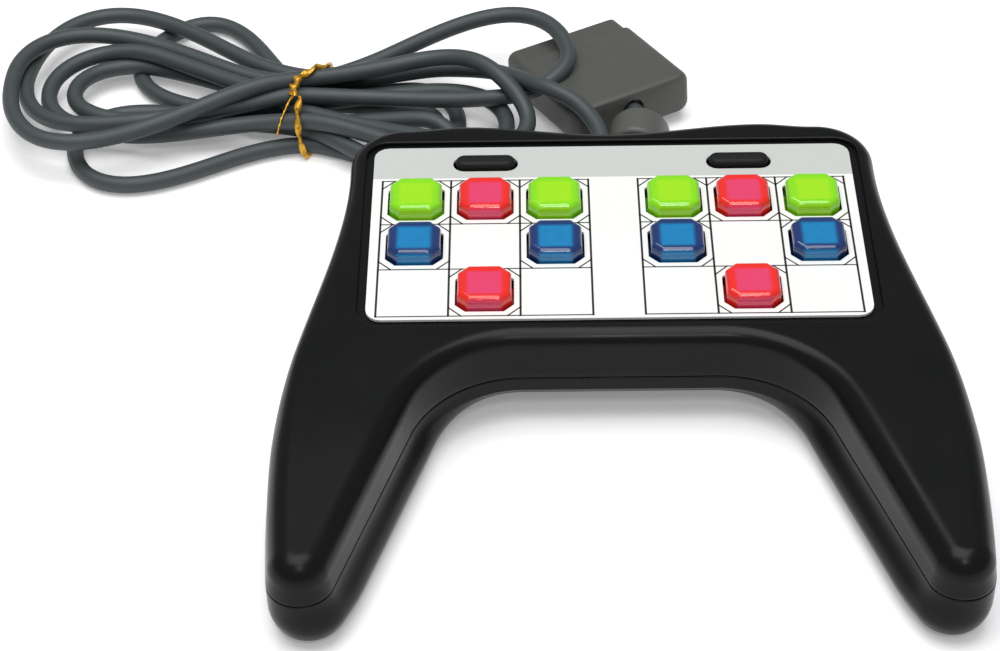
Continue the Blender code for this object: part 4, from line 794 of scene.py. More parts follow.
def lower_inset(z, arch, inner):
    """How far the lower shell lies inside the plan at a height.

    A quarter ellipse rounds the bottom edge, the front arch slants in below its
    lip, and the inner side of the grips swells out by smoothstep.
    """
    below = np.clip((LOWER_ROUND_HEIGHT - z) / LOWER_ROUND_HEIGHT, 0.0, 1.0)
    rounded = LOWER_ROUND_INSET * (1 - np.sqrt(1 - below ** 2))
    undercut = max(LOWER_RIM_Z - LIP_HEIGHT - z, 0.0)
    swell = GRIP_SWELL * inner * smoothstep((LOWER_RIM_Z - z) / LOWER_ROUND_HEIGHT)
    return rounded * (1 - arch) + undercut * arch - swell


def bottom_shell_parts(body):
    """Lower shell: lip, swollen and rounded wall, resting face with six screw wells."""
    outline = body_outline()
    arch, inner = outline[:, 4], outline[:, 5]

    def ring(z, wall=0.0):
        return inset_ring(outline, lower_inset(z, arch, inner) + wall, z)

    edge = body.rim_round
    rings = [ring(FLOOR_THICKNESS, SHELL_WALL * 4 / 3)]
    rings += [ring(z, SHELL_WALL) for z in (*INNER_RING_Z, LOWER_RIM_Z)]
    rings += [ring(LOWER_RIM_Z - edge * rise, edge * fall) for fall, rise in quarter_round(4)]
    straight = np.linspace(LOWER_RIM_Z - edge, LOWER_ROUND_HEIGHT, 10)[1:]
    curved = LOWER_ROUND_HEIGHT * (1 - np.sin(np.linspace(0.0, np.pi / 2, 14)[1:]))
    rings += [ring(z) for z in np.concatenate([straight, curved])]
    rings[-1][:, 2] = 0.0
    parts = [lofted(rings)]
    wells, feet = [], []
    foot_radius, mouth_radius = LOWER_BOSS_RADIUS - FOOT_INSET, COUNTERBORE_RADIUS + WELL_CHAMFER
    profile = ((foot_radius, FLOOR_THICKNESS), (LOWER_BOSS_RADIUS, FLOOR_THICKNESS + FOOT_HEIGHT),
               (LOWER_BOSS_RADIUS, LOWER_RIM_Z), (PILOT_RADIUS, LOWER_RIM_Z), (PILOT_RADIUS, SHELF_Z),
               (COUNTERBORE_RADIUS, SHELF_Z), (COUNTERBORE_RADIUS, WELL_CHAMFER), (mouth_radius, 0.0))
    for x, y in CASE_SCREW_PLACES:
        for _, side in BLOCKS:
            place = (side * x, y)
            parts.append(turned(profile, place))
            wells.append(circle(place, mouth_radius))
            feet.append(circle(place, foot_radius))
    parts.append(filled(rings[0], feet, flat(FLOOR_THICKNESS), COARSE_GRID))
    parts.append(filled(rings[-1], wells, flat(0.0), COARSE_GRID))
    return parts


def key_places(side):
    """Name, centre and colour of each square key in one block."""
    return [(name, (side * BLOCK_CENTRE_X + (column - 1) * CELL, GRID_REAR_Y - (row + 0.5) * CELL), tint)
            for name, column, row, tint in BLOCK_KEYS]


def pill_plan(centre, length, width, extra):
    """Plan of a pill key grown by a margin."""
    half_x, half_y = length / 2 + extra, width / 2 + extra
    return rounded_polygon(rectangle(centre, half_x, half_y), half_y * PILL_ROUNDNESS, 8, 3)


def key_rings(centre, keys):
    """Rings of a square key from its stem over the flange to the middle of its top.

    Above the flange the wall goes straight up, then a superellipse quarter rounds
    it to the top, which dips by a parabola towards its middle.
    """
    top = PLATE_TOP_Z + keys.rise
    crown_width = keys.width - 2 * keys.shoulder
    stem_cut = KEY_STEM_WIDTH * (1 - math.sqrt(0.5))
    taper = KEY_CHAMFER / keys.width
    pocket_top = top - KEY_TOP_WALL
    stem, pocket, flange = KEY_STEM_WIDTH, KEY_POCKET, FLANGE_WIDTH
    profile = [(stem * 1e-3, STEM_BOTTOM_Z, stem_cut * 1e-3), (stem, STEM_BOTTOM_Z, stem_cut),
               (stem, pocket_top, stem_cut), (pocket, pocket_top, pocket * taper),
               (pocket, FLANGE_BOTTOM_Z, pocket * taper), (flange, FLANGE_BOTTOM_Z, KEY_CHAMFER),
               (flange, FLANGE_TOP_Z, KEY_CHAMFER), (keys.width, FLANGE_TOP_Z, KEY_CHAMFER)]
    for level in np.linspace(0.0, 1.0, 5)[1:]:
        profile.append((keys.width, FLANGE_TOP_Z + (top - keys.crown - FLANGE_TOP_Z) * level, KEY_CHAMFER))
    for angle in np.linspace(0.0, np.pi / 2, 12)[1:]:
        out, rise = math.cos(angle) ** (2 / KEY_EXPONENT), math.sin(angle) ** (2 / KEY_EXPONENT)
        width = crown_width + 2 * keys.shoulder * out
        profile.append((width, top - keys.crown * (1 - rise), width * taper))
    for scale in np.linspace(1.0, 0.0, 12)[1:]:
        width = crown_width * max(scale, 1e-3)
        profile.append((width, top - KEY_DIP * (1 - scale ** 2), width * taper))
    return [lifted(rounded_polygon(octagon(centre, width, chamfer), width * KEY_CORNER, 5, 7), z)
            for width, z, chamfer in profile]


def core_share(points, centre, keys):
    """How much of the lighter core shows at each point of a key.

    On the top it is a soft square, moved a little to the front; on the front wall it
    is the middle band, a little weaker. Each edge is a smoothstep over its softness,
    in shares of the key's width, and the wall starts below the top by a height.
    """
    x, y = (points[:, 0] - centre[0]) / keys.width, (points[:, 1] - centre[1]) / keys.width
    soft, half, forward = 0.045, 0.315, 0.035
    wall_below, wall_soft = 0.0004, 0.0006
    front_from, front_soft, front_strength = 0.40, 0.06, 0.85
    across = smoothstep((half + soft - np.abs(x)) / (2 * soft))
    deep = smoothstep((half + soft - np.abs(y + forward)) / (2 * soft))
    wall = smoothstep((PLATE_TOP_Z + keys.rise - wall_below - points[:, 2]) / wall_soft)
    front = across * smoothstep((np.abs(y) - front_from) / front_soft) * (y < 0)
    return across * deep * (1 - wall) + front_strength * front * wall


def make_square_keys(keys):
    """Twelve keys, each on its own body."""
    tints = {tint: tinted_acrylic(tint + "_tinted_acrylic", tuple(getattr(keys, tint)),
                                  tuple(getattr(keys, tint + "_core")))
             for tint in ("green", "red", "blue")}
    for block, side in BLOCKS:
        for name, place, tint in key_places(side):
            rings = key_rings(place, keys)
            points = np.concatenate(rings)
            body = f"{block}_{name}"
            make_piece(body + "_cap", [lofted(rings)], tints[tint], body, (body + "_key",),
                       smooth=40, attribute=("core", core_share(points, place, keys)))


def make_pill_keys(keys):
    """Two rubber pill keys with a rounded top edge, each on its own body."""
    finish = moulded("black_silicone_rubber", colour("1b1c1d"), 0.55, grain=0.0004, relief=0.00002,
                     gloss=0.06, shade=0.15, Specular_IOR_Level=0.2)
    flange = PILL_CLEARANCE + PILL_FLANGE
    stem = pill_plan((0.0, 0.0), KEY_STEM_WIDTH, KEY_STEM_WIDTH, 0.0)
    top = PLATE_TOP_Z + keys.pill_rise
    edge, end_pull, crown = 0.0013, 0.0012, 0.00008
    for block, side in BLOCKS:
        centre = (side * BLOCK_CENTRE_X, PILL_Y)

        def ring(extra, z):
            return lifted(pill_plan(centre, keys.pill_length, keys.pill_width, extra), z)

        rings = [lifted(stem * 1e-3 + centre, STEM_BOTTOM_Z), lifted(stem + centre, STEM_BOTTOM_Z),
                 lifted(stem + centre, FLANGE_BOTTOM_Z), ring(flange, FLANGE_BOTTOM_Z),
                 ring(flange, FLANGE_TOP_Z), ring(0.0, FLANGE_TOP_Z)]
        rings += [ring(-edge * rise, top - edge * fall) for fall, rise in quarter_round(8)]
        x, y = (rings[-1][:, :2] - centre).T
        for scale in (0.75, 0.5, 0.25, 1e-3):
            shrunk = np.sign(x) * np.maximum(np.abs(x) - end_pull * (1 - scale), 0.0)
            rings.append(lifted(np.column_stack([shrunk, y * scale]) + centre, top + crown * (1 - scale)))
        body = f"{block}_pill"
        make_piece(body + "_cap", [lofted(rings)], finish, body, (body + "_key",), smooth=40)


def make_print(body):
    """The plate's finish and its printed lines: the cell grid and a cut corner line by each hole."""
    refinish(printed_polyester(body), "face_plate")
    lines = []
    half = 1.5 * CELL
    steps = np.arange(4) * CELL
    for _, side in BLOCKS:
        middle = side * BLOCK_CENTRE_X
        lines += [(middle - half, GRID_REAR_Y - s, middle + half, GRID_REAR_Y - s, ROW_LINE) for s in steps]
        lines += [(middle - half + s, GRID_REAR_Y, middle - half + s, GRID_REAR_Y - 2 * half, COLUMN_LINE)
                  for s in steps]
        for _, (x, y), _ in key_places(side):
            far, near = CELL / 2, CELL / 2 - body.corner_cut
            lines += [(x + a * near, y + b * far, x + a * far, y + b * near, ROW_LINE)
                      for a in (1, -1) for b in (1, -1)]
    lines = np.array(lines)
    start, end = lines[:, :2], lines[:, 2:4]
    along = (end - start) / np.linalg.norm(end - start, axis=1)[:, None]
    side_step = np.column_stack([-along[:, 1], along[:, 0]]) * (lines[:, 4] * body.line_width / 2)[:, None]
    start, end = start - along * body.line_width / 2, end + along * body.line_width / 2
    corners = np.stack([start - side_step, end - side_step, end + side_step, start + side_step], axis=1)
    sides = ((0, 3, 2, 1), (4, 5, 6, 7), (0, 1, 5, 4), (1, 2, 6, 5), (2, 3, 7, 6), (3, 0, 4, 7))
    low, high = PLATE_TOP_Z - INK_SUNK, PLATE_TOP_Z + INK_RAISED
    bars = [(np.concatenate([lifted(bar, low), lifted(bar, high)]), sides) for bar in corners]
    item = linked("plate_lines", plain_mesh("plate_lines", *joined(bars), screen_ink(body)))
    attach(item, "case")


def make_rubber_domes():
    """Keypad sheets with rims, and under each key a hollow dome."""
    finish = moulded("translucent_keypad_silicone", colour("c9cbc6"), 0.5, grain=0.0006,
                     relief=0.00001, Subsurface_Weight=0.15)
    half = 1.5 * CELL - KEYPAD_MARGIN
    rear, waist = GRID_REAR_Y - KEYPAD_MARGIN, GRID_REAR_Y - 2 * CELL - KEYPAD_MARGIN
    front = GRID_REAR_Y - 2.5 * CELL - KEYPAD_TAB_LENGTH
    keep, keep_pill = (1 - travel / (DOME_TOP_Z - KEYPAD_TOP_Z) for travel in (KEY_TRAVEL, PILL_TRAVEL))
    jobs = []
    for block, side in BLOCKS:
        middle = side * BLOCK_CENTRE_X
        plan = [(middle + x, y) for x, y in (
            (half, rear), (-half, rear), (-half, waist), (-KEYPAD_TAB_HALF, waist), (-KEYPAD_TAB_HALF, front),
            (KEYPAD_TAB_HALF, front), (KEYPAD_TAB_HALF, waist), (half, waist))]
        domes = [(f"{block}_{name}", place) for name, place, _ in key_places(side)]
        jobs.append((block + "_keypad", plan, domes, DOME_RADIUS, keep))
    strip = rectangle((0.0, PILL_Y), BLOCK_CENTRE_X + PILL_STRIP_END, PILL_STRIP_HALF)
    pills = [(f"{block}_pill", (side * BLOCK_CENTRE_X, PILL_Y)) for block, side in BLOCKS]
    jobs.append(("pill_keypad", strip, pills, PILL_DOME_RADIUS, keep_pill))
    for name, plan, domes, radius, share in jobs:
        plan = np.array(plan)
        holes = [circle(place, radius - DOME_WALL, 24) for _, place in domes]
        loops = [plan] + holes
        parts = [filled(plan, holes, flat(z), KEYPAD_GRID) for z in (KEYPAD_BOTTOM_Z, KEYPAD_TOP_Z)]
        parts += [lofted([lifted(loop, KEYPAD_BOTTOM_Z), lifted(loop, KEYPAD_TOP_Z)]) for loop in loops]
        make_piece(name + "_sheet", parts, finish, "case", (name,))
        top, inner, base, edge = radius * 0.6, radius - DOME_WALL, KEYPAD_TOP_Z + DOME_LIFT, 0.0004
        profile = ((inner, base), (radius, base), (radius, KEYPAD_TOP_Z + edge),
                   (top + 1.5 * edge, DOME_TOP_Z - edge), (top, DOME_TOP_Z), (0.0, DOME_TOP_Z),
                   (0.0, DOME_TOP_Z - DOME_WALL), (top - DOME_WALL, DOME_TOP_Z - DOME_WALL), (inner, base))
        for body, place in domes:
            dome = make_piece(body + "_dome", [turned(profile, place, 24)], finish, "case")
            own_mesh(dome)


def make_screws():
    """Pan-head screws with a cross recess; the recess deepens where either arm is near."""
    finish = zinc_plate()
    rows, columns = 14, 64
    jobs = []
    for name, (x, y) in zip(("rear", "root", "grip"), CASE_SCREW_PLACES):
        for block, side in BLOCKS:
            jobs.append((f"{block}_{name}_case_screw", (side * x, y), SHELF_Z - GAP, CASE_SCREW_LENGTH))
    for name, place in zip(("left", "front", "right", "middle"), BOARD_SCREW_PLACES):
        jobs.append((name + "_board_screw", place, BOARD_BOTTOM_Z - GAP, BOARD_SCREW_LENGTH))
    share = np.linspace(0.0, 1.0, rows)[:, None]
    angle = 2 * np.pi * (np.arange(columns) + 0.5) / columns
    for name, place, seat, length in jobs:
        face = seat - SCREW_HEAD_HEIGHT
        radius = share * SCREW_HEAD_RADIUS * HEAD_FLAT
        x, y = radius * np.cos(angle), radius * np.sin(angle)
        arm = np.minimum(np.abs(x), np.abs(y))
        cross = smoothstep((CROSS_ARM - arm) / 0.00016) * smoothstep((CROSS_REACH - radius) / 0.0003)
        z = face + HEAD_CROWN * share ** 2 + CROSS_DEPTH * cross
        head = np.stack([place[0] + x, place[1] + y, z], axis=-1)
        thread = np.arange(0.0012, length - 0.0016, THREAD_PITCH)
        profile = [(SCREW_HEAD_RADIUS * HEAD_FLAT, face + HEAD_CROWN),
                   (SCREW_HEAD_RADIUS * HEAD_SHOULDER, face + 0.00045),
                   (SCREW_HEAD_RADIUS, face + 0.0010), (SCREW_HEAD_RADIUS, seat), (SCREW_RADIUS, seat)]
        profile += [(SCREW_RADIUS - THREAD_DEPTH * (i % 2), seat + step) for i, step in enumerate(thread)]
        profile += [(SCREW_RADIUS * 0.4, seat + length - 0.0001), (0.0, seat + length)]
        make_piece(name + "_turned", [lofted(head), turned(profile, place, columns)], finish, "case",
                   (name,))


def finish_inside():
    """Finishes of the board, what it carries and the inner lead, which keep their shapes."""
    refinish(solder_mask(), "circuit_board")
    refinish(moulded("moulded_epoxy_chip", colour("1c1c1e"), 0.55, relief=0.00002), "controller_chip")
    refinish(moulded("dipped_ceramic", colour("b8862c"), 0.30), "resonator")
    refinish(moulded("shrunk_capacitor_sleeve", colour("24324f"), 0.32), "capacitor")
    refinish(moulded("natural_nylon", colour("e6e3d6"), 0.45, Subsurface_Weight=0.1), "lead_header")


def catmull_rom(points, steps):
    """Smooth curve through points, as fine points.

    Between two points it is half of 2p1 + (p2 - p0)t + (2p0 - 5p1 + 4p2 - p3)t²
    + (3p1 - p0 - 3p2 + p3)t³, worked out for all spans at once.
    """
    points = np.asarray(points, float)
    padded = np.concatenate([2 * points[:1] - points[1:2], points, 2 * points[-1:] - points[-2:-1]])
    p0, p1, p2, p3 = (padded[i:len(padded) - 3 + i, None] for i in range(4))
    t = np.linspace(0.0, 1.0, steps, endpoint=False)[None, :, None]
    spans = 0.5 * (2 * p1 + (p2 - p0) * t + (2 * p0 - 5 * p1 + 4 * p2 - p3) * t ** 2
                   + (3 * p1 - p0 - 3 * p2 + p3) * t ** 3)
    return np.concatenate([spans.reshape(-1, 3), points[-1:]])


def length_along(points):
    """Distance of each point from the first, along the line."""
    return np.concatenate([[0.0], np.cumsum(np.linalg.norm(np.diff(points, axis=0), axis=1))])


def respaced(points, spacing):
    """Points at even distances along a line."""
    at = length_along(points)
    wanted = np.linspace(0.0, at[-1], max(int(round(at[-1] / spacing)), 2) + 1)
    return np.column_stack([np.interp(wanted, at, points[:, k]) for k in range(3)])


def lobe(start, end, tip_x, tip_y, rear_width, front_width, height):
    """One loop of the hank from a pass out round its tip and back to the next pass.

    With t from 0 to a full turn, the loop goes out by (1 - cos t)/2 of the axis and
    aside by width times sin t times sin²(t/2), so that it leaves along its axis.
    The product is divided by its peak, so that width is the widest that it gets.
    """
    peak = 0.6495
    turn = 1 if start[1] > end[1] else -1
    t = np.linspace(0.0, 2 * np.pi, 29)[1:-1]
    share = ((t - np.sin(t)) / (2 * np.pi))[:, None]
    base = start * (1 - share) + end * share
    middle = (start + end) / 2
    axis = np.array((tip_x - middle[0], tip_y - middle[1], 0.0))
    side = np.array((-axis[1], axis[0], 0.0)) / np.linalg.norm(axis)
    side *= np.sign(side[1])
    width = np.where((t < np.pi) == (turn > 0), rear_width, front_width)
    aside = turn * width * np.sin(t) * np.sin(t / 2) ** 2 / peak
    points = base + ((1 - np.cos(t)) / 2)[:, None] * axis + aside[:, None] * side
    lift = np.sin(t / 2) ** 2
    points[:, 2] = base[:, 2] * (1 - lift) + height * lift
    return points


def pushed_apart(points, free, radius):
    """Settle the strands: push those that touch apart and keep all on or above the table.

    The moves, and not the points, are evened out along the cord, so that the loops
    keep their size. Strands give way upwards more than sideways, and the tie holds
    those under it within its span. Each round the moves fade a little, so that
    strands which are free of each other come back.
    """
    rounds, neighbours, spare, step, fade = 200, 5, 1.03, 0.8, 0.9995
    sideways, upwards = 0.35, 0.0006
    count = np.arange(len(points))
    apart = np.abs(count[:, None] - count[None]) > neighbours
    reach = 2 * radius * spare
    tied = np.abs(points[:, 0] - WAIST_X) < WAIST_REACH
    moved = np.zeros_like(points)
    for _ in range(rounds):
        place = points + moved
        difference = place[:, None] - place[None]
        distance = np.linalg.norm(difference, axis=2)
        i, j = np.nonzero(apart & (distance < reach))
        push, hits = np.zeros_like(points), np.zeros(len(points))
        if len(i):
            way = difference[i, j] * (sideways, sideways, 1.0)
            way[:, 2] += np.sign(difference[i, j][:, 2] + 1e-9) * upwards
            way /= np.linalg.norm(way, axis=1)[:, None]
            np.add.at(push, i, way * ((reach - distance[i, j]) / 2)[:, None])
            np.add.at(hits, i, 1)
        moved += step * push / np.maximum(hits, 1)[:, None]
        moved[1:-1] = 0.2 * moved[:-2] + 0.6 * moved[1:-1] + 0.2 * moved[2:]
        moved *= fade * free[:, None]
        moved[tied, 1] = np.clip(points[tied, 1] + moved[tied, 1], *WAIST_SPAN) - points[tied, 1]
        moved[:, 2] = np.maximum(moved[:, 2], radius + GAP - points[:, 2])
    return points + moved


def eased(points, free, rounds=30, strength=0.5, reach=0.02):
    """Even out the bends close to the tie by moving points towards their neighbours' mean.

    The strength fades by a Gaussian of the distance from the waist over the reach.
    """
    weight = strength * (np.exp(-((points[:, 0] - WAIST_X) / reach) ** 2) * free)[1:-1, None]
    for _ in range(rounds):
        points[1:-1] += weight * ((points[:-2] + points[2:]) / 2 - points[1:-1])
    return points


def cord_line(spacing, radius):
    """The cord's centre line from the gland through the hank and the bead to the plug."""
    passes = [np.array((WAIST_X, y, z)) for y, z in PASSES]
    lead, tail = catmull_rom(LEAD_ROUTE, 6), catmull_rom(TAIL_ROUTE, 6)
    before_plug, inside_gland = 0.0035, 0.0022
    pieces = [lead, HANK_ENTRY]
    for turn, left in enumerate(LEFT_LOBES):
        near, far = passes[2 * turn], passes[2 * turn + 1]
        pieces += [near[None], lobe(near, far, *left), far[None]]
        if turn < len(RIGHT_LOBES):
            right = RIGHT_LOBES[turn]
            pieces.append(right if np.ndim(right) == 2 else lobe(far, passes[2 * turn + 2], *right))
    pieces += [HANK_EXIT, tail]
    line = respaced(catmull_rom(np.concatenate([np.asarray(p, float) for p in pieces]), 4), spacing)
    at = length_along(line)
    free = (at > length_along(lead)[-1]) & (at < at[-1] - length_along(tail)[-1])
    line = pushed_apart(eased(line, free), free, radius)
    to_world = np.array(plug_matrix())
    on_axis = np.array(((0.0, -before_plug, PLUG_THICKNESS / 2, 1.0),
                        (0.0, PLUG_HOLE_DEPTH - GAP, PLUG_THICKNESS / 2, 1.0)))
    entry = (on_axis @ to_world.T)[:, :3]
    start = np.array(((GLAND_EXIT[0], GLAND_EXIT[1] - inside_gland, GLAND_EXIT[2]),))
    return catmull_rom(np.concatenate([start, line, [BEAD_NEAR, BEAD_FAR], entry]), 2)


def plug_matrix():
    """Where the plug lies: its own +Y is the way it is pushed in."""
    turn = Matrix.Rotation(PLUG_YAW, 4, "Z") @ Matrix.Rotation(PLUG_PITCH, 4, "X")
    return Matrix.Translation(PLUG_PLACE) @ turn


def make_cord(cord):
    """The whole cord as one curve with a round section."""
    line = cord_line(cord.spacing, cord.diameter / 2)
    curve = bpy.data.curves.new("cord", "CURVE")
    curve.dimensions = "3D"
    curve.bevel_depth = cord.diameter / 2
    curve.bevel_resolution = 5
    curve.use_fill_caps = True
    spline = curve.splines.new("POLY")
    spline.points.add(len(line) - 1)
    spline.points.foreach_set("co", np.column_stack([line, np.ones(len(line))]).ravel())
    spline.use_smooth = True
    curve.materials.append(cord_pvc(cord))
    item = linked("cord", curve)
    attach(item, "case")
    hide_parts("cord_lead", "cord_hank", "cord_tail", "cord_stub")
    refinish(curve.materials[0], "inner_lead")


def carried(profile, start, end, count=48, groove=None):
    """A profile of distance and radius turned round the line from start to end.

    groove is a depth and the sine of half the angle of a groove along both sides,
    which runs where the radius is over four fifths of the largest.
    """
    start, end = np.array(start), np.array(end)
    along = (end - start) / np.linalg.norm(end - start)
    side = np.cross(along, (0.0, 0.0, 1.0))
    side /= np.linalg.norm(side)
    up = np.cross(side, along)
    angle = 2 * np.pi * (np.arange(count) + 0.5) / count
    rows = []
    for distance, radius in profile:
        reach = np.full(count, radius)
        if groove is not None and radius > 0.8 * max(r for _, r in profile):
            reach = reach - groove[0] * (np.abs(np.sin(angle)) < groove[1])
        rows.append(start + along * distance + reach[:, None]
                    * (np.cos(angle)[:, None] * side + np.sin(angle)[:, None] * up))
    return lofted(rows)


def make_bead(cord):
    """Ferrite bead housing: a round two-part shell with rounded ends and a bore for the cord."""
    finish = moulded("bead_housing_abs", tuple(cord.bead_colour), 0.45, grain=0.0005,
                     relief=0.00001, gloss=0.05, shade=0.10)
    length = float(np.linalg.norm(np.subtract(BEAD_FAR, BEAD_NEAR)))
    edge, chamfer, bore, seam = 0.0016, 0.0006, CORD_RADIUS + 0.0002, (0.00018, 0.045)
    profile = [(chamfer, bore), (0.0, bore + chamfer), (0.0, BEAD_RADIUS - edge)]
    profile += [(edge * fall, BEAD_RADIUS - edge * rise) for fall, rise in quarter_round(7)[-2::-1]]
    profile += [(length - distance, radius) for distance, radius in reversed(profile)]
    profile.append(profile[0])
    parts = [carried(profile, BEAD_NEAR, BEAD_FAR, 72, seam)]
    return make_piece("bead_housing", parts, finish, "case", ("ferrite_bead",))


def make_gland():
    """Rubber gland: flange inside the wall, neck, and a tapered sleeve with two grooves."""
    finish = moulded("gland_rubber", colour("1c1d1e"), 0.6, grain=0.0005, relief=0.00002)
    wall_y = float(rear_edge_y(np.array(GLAND_X)))
    neck, sleeve = wall_y - SHELL_WALL - WALL_DRAFT, wall_y + 1.3 * GAP
    tip = sleeve + 0.0080
    flange, wide, thin, collar, chamfer = 0.0024, 0.0062, 0.0039, 0.0046, 0.0006
    pitch, depth, taper, mouth, bore = 0.0024, 0.0007, 0.0004, 0.0032, CORD_RADIUS + 0.0001
    profile = [(neck - flange, 0.0), (neck - flange, wide - chamfer), (neck - flange + chamfer, wide),
               (neck, wide), (neck, thin), (sleeve, thin), (sleeve, collar), (sleeve + 0.0018, collar)]
    for i in range(2):
        start, outer = sleeve + pitch * (i + 1), 0.0044 - taper * i
        profile += [(start, outer), (start + 0.0002, outer - depth), (start + 0.0009, outer - depth),
                    (start + 0.0011, outer - 0.0001)]
    profile += [(tip - 0.0003, 0.0034), (tip, 0.0031), (tip, bore), (tip - mouth, bore), (tip - mouth, 0.0)]
    parts = [carried(profile, (GLAND_X, 0.0, PARTING_Z), (GLAND_X, 1.0, PARTING_Z), 40)]
    make_piece("cord_gland_sleeve", parts, finish, "case", ("cord_gland",))


def make_plug(cord):
    """Plug housing: rounded grip, a groove, a stepped shroud, an open mouth and the cord's hole."""
    finish = moulded("grey_plug_abs", tuple(cord.plug_colour), 0.46, grain=0.0005, relief=0.000012,
                     gloss=0.05, shade=0.12)
    half_x, half_z = PLUG_WIDTH / 2, PLUG_THICKNESS / 2
    steps, along = 7, 9
    count = 4 * (steps + 1 + along)

    def section(inset_x, inset_z, y, radius):
        corners = rectangle((0.0, half_z), half_x - inset_x, half_z - inset_z)
        plan = rounded_polygon(corners, radius, steps, along)
        return np.column_stack([plan[:, 0], np.full(len(plan), y), plan[:, 1]])

    chamfer, tighter, round_x, round_z, round_y = 0.0003, 0.0006, 0.0028, 0.0011, 0.0030
    outer = section(0.0025, 0.0010, 0.0, PLUG_CORNER - tighter)
    angle = np.arctan2(outer[:, 2] - half_z, outer[:, 0])
    hole = np.column_stack([np.cos(angle), np.zeros(count), np.sin(angle)])
    bore = ((1e-6, PLUG_HOLE_DEPTH), (PLUG_HOLE_RADIUS, PLUG_HOLE_DEPTH),
            (PLUG_HOLE_RADIUS, chamfer), (PLUG_HOLE_RADIUS + chamfer, 0.0))
    rings = [hole * radius + (0.0, y, half_z) for radius, y in bore]
    rings += [section(round_x * fall, round_z * fall, round_y * rise, PLUG_CORNER - tighter * fall)
              for fall, rise in quarter_round(7)]
    grip, step, mouth_corner = PLUG_GRIP_LENGTH, PLUG_STEP, 0.0013
    inner, floor = step + PLUG_MOUTH_WALL, PLUG_LENGTH - PLUG_MOUTH_DEPTH
    for inset, y, corner in ((0.0, grip - chamfer, PLUG_CORNER), (0.0002, grip, PLUG_CORNER),
                             (step, grip + chamfer, PLUG_CORNER - 0.0004),
                             (step, PLUG_LENGTH - chamfer, PLUG_CORNER - 0.0004),
                             (step + chamfer, PLUG_LENGTH, PLUG_CORNER - tighter),
                             (inner, PLUG_LENGTH, mouth_corner), (inner, floor, mouth_corner)):
        rings.append(section(inset, inset, y, corner))
    rings.append(section(half_x * 0.999, half_z * 0.999, floor, 1e-6))
    to_world = np.array(plug_matrix())
    moved = [np.column_stack([ring, np.ones(count)]) @ to_world.T[:, :3] for ring in rings]
    housing = make_piece("plug_shell", [lofted(moved)], finish, "case", ("plug_housing",))
    refinish(moulded("contact_block_plastic", colour("2b2c2c"), 0.5), "plug_contact_block")
    return housing


def twisted_strip(path, width, thickness, twists, count=12, spacing=0.0004, closing=40):
    """A flat strip carried along a path while it turns about it.

    The section is an ellipse of the strip's width and thickness; its angle grows
    evenly with the distance, by the given number of turns. At each end it closes by
    a square root over one part in closing of its length.
    """
    path = respaced(catmull_rom(path, 12), spacing)
    along = np.gradient(path, axis=0)
    along /= np.linalg.norm(along, axis=1)[:, None]
    side = np.cross(along, (1.0, 0.0, 0.02))
    side /= np.linalg.norm(side, axis=1)[:, None]
    up = np.cross(side, along)
    share = np.linspace(0.0, 1.0, len(path))
    spin = 2 * np.pi * twists * share
    angle = 2 * np.pi * np.arange(count) / count
    across, thick = width / 2 * np.cos(angle)[None], thickness / 2 * np.sin(angle)[None]
    ends = np.minimum(np.minimum(share, 1 - share) * closing, 1.0)[:, None] ** 0.5
    across, thick = across * ends, thick * ends
    x = across * np.cos(spin)[:, None] - thick * np.sin(spin)[:, None]
    y = across * np.sin(spin)[:, None] + thick * np.cos(spin)[:, None]
    return lofted(path[:, None] + x[..., None] * side[:, None] + y[..., None] * up[:, None])


def waist_outline(line, reach):
    """The taut line round the strands under the tie, from its top forwards: y and z.

    In each direction it is the farthest strand's centre and reach beyond that.
    """
    near = line[np.abs(line[:, 0] - WAIST_X) < TIE_SEARCH, 1:]
    angle = np.radians(np.arange(90, 451, 4))
    way = np.column_stack([np.cos(angle), np.sin(angle)])
    outline = near[np.argmax(near @ way.T, axis=0)] + reach * way
    outline[:, 1] = np.maximum(outline[:, 1], TIE_FLOOR)
    return outline


def make_tie(cord):
    """Twisted foil tie: a taut loop round the hank's waist, two ends wound in a knot, a thin tail."""
    finish = gold_foil(cord)
    clear, spacing, wire, lean = 0.0008, 0.0008, 0.0007, -0.0012
    outline = waist_outline(cord_line(cord.spacing, cord.diameter / 2), cord.diameter / 2 + clear)
    around = respaced(np.column_stack([np.zeros(len(outline)), outline]), spacing)[:-1]
    at = np.arange(len(around)) * float(np.linalg.norm(around[1] - around[0]))
    stops, sideways = np.array(TIE_LEAN).T
    around[:, 0] = np.interp(at, np.where(stops < 0, at[-1] + stops, stops), sideways)
    first, last = np.searchsorted(at, TIE_KNOT)
    loop = np.concatenate([around[last:], around[:first + 1]])

    core = respaced(around[first - 1:last + 2], spacing / 2)
    share = np.linspace(0.0, 1.0, len(core))
    core[:, 0] += lean * share
    along = np.gradient(core, axis=0)
    out = np.cross(along, (1.0, 0.0, 0.0))
    out *= np.sign(out[:, 2:]) / np.linalg.norm(out, axis=1)[:, None]
    core += wire * out
    parts = [twisted_strip(loop, *LOOP_STRIP)]
    for phase in (0.0, np.pi):
        turn = (phase + 3.0 * np.pi * share)[:, None]
        wound = core + wire * (np.cos(turn) * out + np.sin(turn) * (1.0, 0.0, 0.0))
        parts.append(twisted_strip(wound[::3], *KNOT_STRIP))
    parts.append(twisted_strip((core[-3], *TIE_TAIL), *TAIL_STRIP))
    return make_piece("foil_tie", parts, finish, "case", ("twist_tie",), smooth=50)


